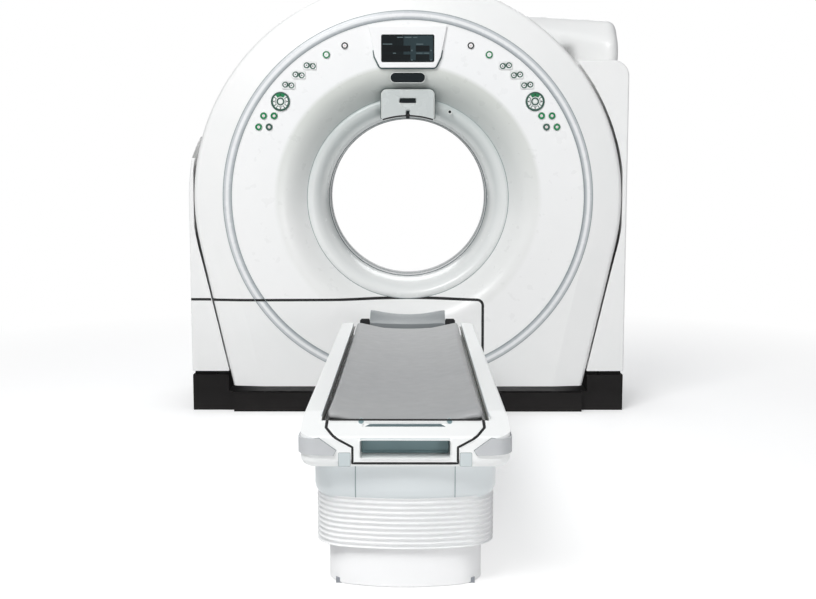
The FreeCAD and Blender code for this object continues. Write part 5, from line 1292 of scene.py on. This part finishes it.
def make_stand_lips():
    """A lip on each stand's inner front edge that narrows the gap beside the tilting cover."""
    foot = -0.796
    for name, side, top in (("left_stand_lip", -1, 0.186), ("right_cabinet_lip", 1, 0.62)):
        rings = []
        count = int((top - foot) / 0.018)
        for n in range(count + 1):
            z = foot + (top - foot) * n / count
            inner = []
            outer = []
            for y in (-0.3640, -0.3625, -0.350, -0.325, -0.295, -0.26):
                reach = swept_half_width(y, z)
                ease = 0.0012 if y < -0.363 else 0.0
                back = LEFT_TIP_X if side < 0 and z > 0 else reach + 0.0066
                inner.append((side * (reach + 0.0024 + ease), y, ISO_Z + z))
                outer.append((side * max(back, reach + 0.0044), y, ISO_Z + z))
            rings.append(inner + outer[::-1])
        settle(name, [lofted(name, rings, COVER_WHITE)], "stand")


def make_housing():
    """The rear upper housing with soft, broadly rounded edges."""
    piece = plain_object("rear_housing_shell", closed_copy("rear_housing"))
    remeshed(piece, HOUSING_VOXEL)
    smoothed(piece, HOUSING_ROUNDS, COVER_WHITE)
    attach(piece, "stand")
    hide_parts("rear_housing")


def make_seam_filler():
    """The dark seal lying in the left stand's seam."""
    z = ISO_Z - 0.463
    start = swept_half_width(-0.3632, z - ISO_Z) + 0.006
    path = [(-start, -0.3632, z), (-0.998, -0.3632, z), (-1.0010, -0.3605, z), (-1.0235, -0.110, z),
            (-1.0238, 0.406, z)]
    settle("stand_seam_seal", [bead(fine_chain(path, 0.05), GASKET, 0.0036, 0.0115, closed=False)], "stand")


def make_back():
    """Louvres, panel joints and fasteners on the rear drum."""
    y = REAR_FACE_Y
    low = [(side * 0.43, y - 0.0005, ISO_Z - 0.53 - 0.014 * row) for side in (-1, 1) for row in range(9)]
    top = [(0.016 * n - 0.112, y - 0.0005, ISO_Z + 0.70) for n in range(15)]
    settle("rear_louvres", [louvres(low, (0.16, 0.0, 0.0)), louvres(top, (0.0, 0.0, 0.055))], "gantry")
    (x0, z0), (x1, z1) = (at_angle(0.0, 0.0, radius, 38) for radius in (0.607, 0.738))
    lines = [[(side * x, y + 0.0002, ISO_Z + up * z) for x, z in ((x0, z0), (x1, z1))]
             for side in (-1, 1) for up in (1, -1)]
    settle("rear_panel_joints", [bead(line, JOINT_GREY, 0.003, closed=False) for line in lines], "gantry")
    caps = at_depth([at_angle(0.0, ISO_Z, 0.672, degrees)
                     for degrees in (20, 56, 90, 124, 160, 200, 236, 270, 304, 340)], y)
    fasteners("rear_fasteners", caps, [(0.0, 1.0, 0.0)] * len(caps), COUCH_SHADE, 0.009, 0.002, "gantry")


def make_stand_details():
    """Door joints, fasteners and louvres on the stands' outer sides."""
    parts = []
    for side, top in ((-1, ISO_Z - 0.02), (1, ISO_Z + 0.53)):
        door = ((-0.06, 0.23), (0.35, 0.23), (0.35, top), (-0.06, top))
        ring = [(side * STAND_SIDE_X, y, z) for y, z in door]
        parts.append(bead(fine_chain(ring + ring[:1], 0.1), JOINT_GREY, 0.0026, closed=False))
    settle("stand_door_joints", parts, "stand")
    caps = [(side * 1.0259, y, z) for side in (-1, 1) for y in (-0.075, 0.375) for z in (0.26, 0.56, 0.86)]
    fasteners("stand_fasteners", caps, outwards(caps), COUCH_SHADE, 0.008, 0.0018, "stand")
    slats = [(STAND_SIDE_X, 0.145, ISO_Z + 0.36 + 0.014 * row) for row in range(8)]
    settle("cabinet_louvres", [louvres(slats, (0.0, 0.22, 0.0))], "stand")


def make_inside_bolts():
    """Bolt heads on the rotor's plate."""
    heads = ring_points(0.44, 0.029, 24)
    fasteners("rotor_bolts", heads, [(0.0, -1.0, 0.0)] * len(heads), STEEL_PAINT, 0.008, 0.006, "rotor")


# ---- studio ----
FLOOR_HALF = 14.0
FLOOR_GLOW = 0.36
FLOOR_FADE = (1.6, 3.6)     # distances from the middle between which the floor turns white
WORLD_STRENGTH = 0.32


def white_emission(tree, strength):
    node = tree.nodes.new("ShaderNodeEmission")
    node.inputs["Color"].default_value = (1, 1, 1, 1)
    node.inputs["Strength"].default_value = strength
    return node.outputs[0]


def mixed(tree, share, first, second):
    node = tree.nodes.new("ShaderNodeMixShader")
    for socket, value in zip(node.inputs, (share, first, second)):
        link(tree, value, socket)
    return node.outputs[0]


def seen_directly(tree):
    """1 where a camera, mirror or glass ray looks."""
    path = tree.nodes.new("ShaderNodeLightPath")
    first = math_node(tree, "MAXIMUM", path.outputs["Is Camera Ray"], path.outputs["Is Glossy Ray"])
    return math_node(tree, "MAXIMUM", first, path.outputs["Is Transmission Ray"])


def set_studio():
    """White for whatever looks at the world; a pale floor that keeps shadows and fades to white."""
    world = bpy.data.worlds.new("Studio")
    bpy.context.scene.world = world
    world.use_nodes = True
    tree = world.node_tree
    back = tree.nodes["Background"]
    back.inputs["Color"].default_value = (0.95, 0.97, 1.0, 1)
    back.inputs["Strength"].default_value = WORLD_STRENGTH
    white = tree.nodes.new("ShaderNodeBackground")
    white.inputs["Color"].default_value = (1, 1, 1, 1)
    path = tree.nodes.new("ShaderNodeLightPath")
    seen = math_node(tree, "MAXIMUM", path.outputs["Is Camera Ray"], path.outputs["Is Transmission Ray"])
    link(tree, mixed(tree, seen, back.outputs[0], white.outputs[0]),
         tree.nodes["World Output"].inputs["Surface"])

    mesh = bpy.data.meshes.new("floor")
    h = FLOOR_HALF
    mesh.from_pydata([(-h, -h, 0), (h, -h, 0), (h, h, 0), (-h, h, 0)], [], [(0, 1, 2, 3)])
    floor = plain_object("floor", mesh)
    material = bpy.data.materials.new("floor_pale")
    material.use_nodes = True
    tree = material.node_tree
    shader = tree.nodes["Principled BSDF"]
    shader.inputs["Base Color"].default_value = (0.86, 0.86, 0.86, 1)
    shader.inputs["Roughness"].default_value = 0.7
    add = tree.nodes.new("ShaderNodeAddShader")
    link(tree, shader.outputs[0], add.inputs[0])
    link(tree, white_emission(tree, FLOOR_GLOW), add.inputs[1])
    length = tree.nodes.new("ShaderNodeVectorMath")
    length.operation = "LENGTH"
    link(tree, object_coordinates(tree), length.inputs[0])
    far = spread(tree, length.outputs["Value"], *FLOOR_FADE)
    lit = mixed(tree, far, add.outputs[0], white_emission(tree, 1.0))
    link(tree, mixed(tree, seen_directly(tree), shader.outputs[0], lit),
         tree.nodes["Material Output"].inputs["Surface"])
    mesh.materials.append(material)


def soft_box(name, at, aim, size, power):
    data = bpy.data.lights.new(name, "AREA")
    data.shape = "RECTANGLE"
    data.size, data.size_y = size
    data.energy = power
    lamp = plain_object(name, data)
    lamp.location = at
    lamp.rotation_euler = (Vector(aim) - Vector(at)).to_track_quat("-Z", "Y").to_euler()


def set_lamps():
    soft_box("key_box", (-1.8, -4.9, 4.7), (0, -0.6, 0.9), (2.8, 2.4), 216)
    soft_box("fill_box", (2.6, -6.8, 0.9), (0, -2.4, 0.3), (1.8, 1.4), 40)
    soft_box("top_box", (0.0, -0.9, 4.9), (0, -0.5, 0.6), (4.0, 2.6), 20)
    soft_box("back_box", (0.0, 5.0, 3.6), (0, 0.3, 1.0), (4.0, 2.0), 70)


set_camera()
dress_nodes()
make_key_marks()
make_display()
make_alignment_block()
make_alignment_details()
make_tunnel_trim()
make_pin_hole()
make_foot_end()
make_bumper_seams()
make_mattress()
make_headrest()
make_bellows()
make_casing()
make_plinth()
make_table_trim()
make_stand_lips()
make_housing()
make_seam_filler()
make_back()
make_stand_details()
make_inside_bolts()
set_studio()
set_lamps()

bpy.context.scene.view_settings.view_transform = "Standard"
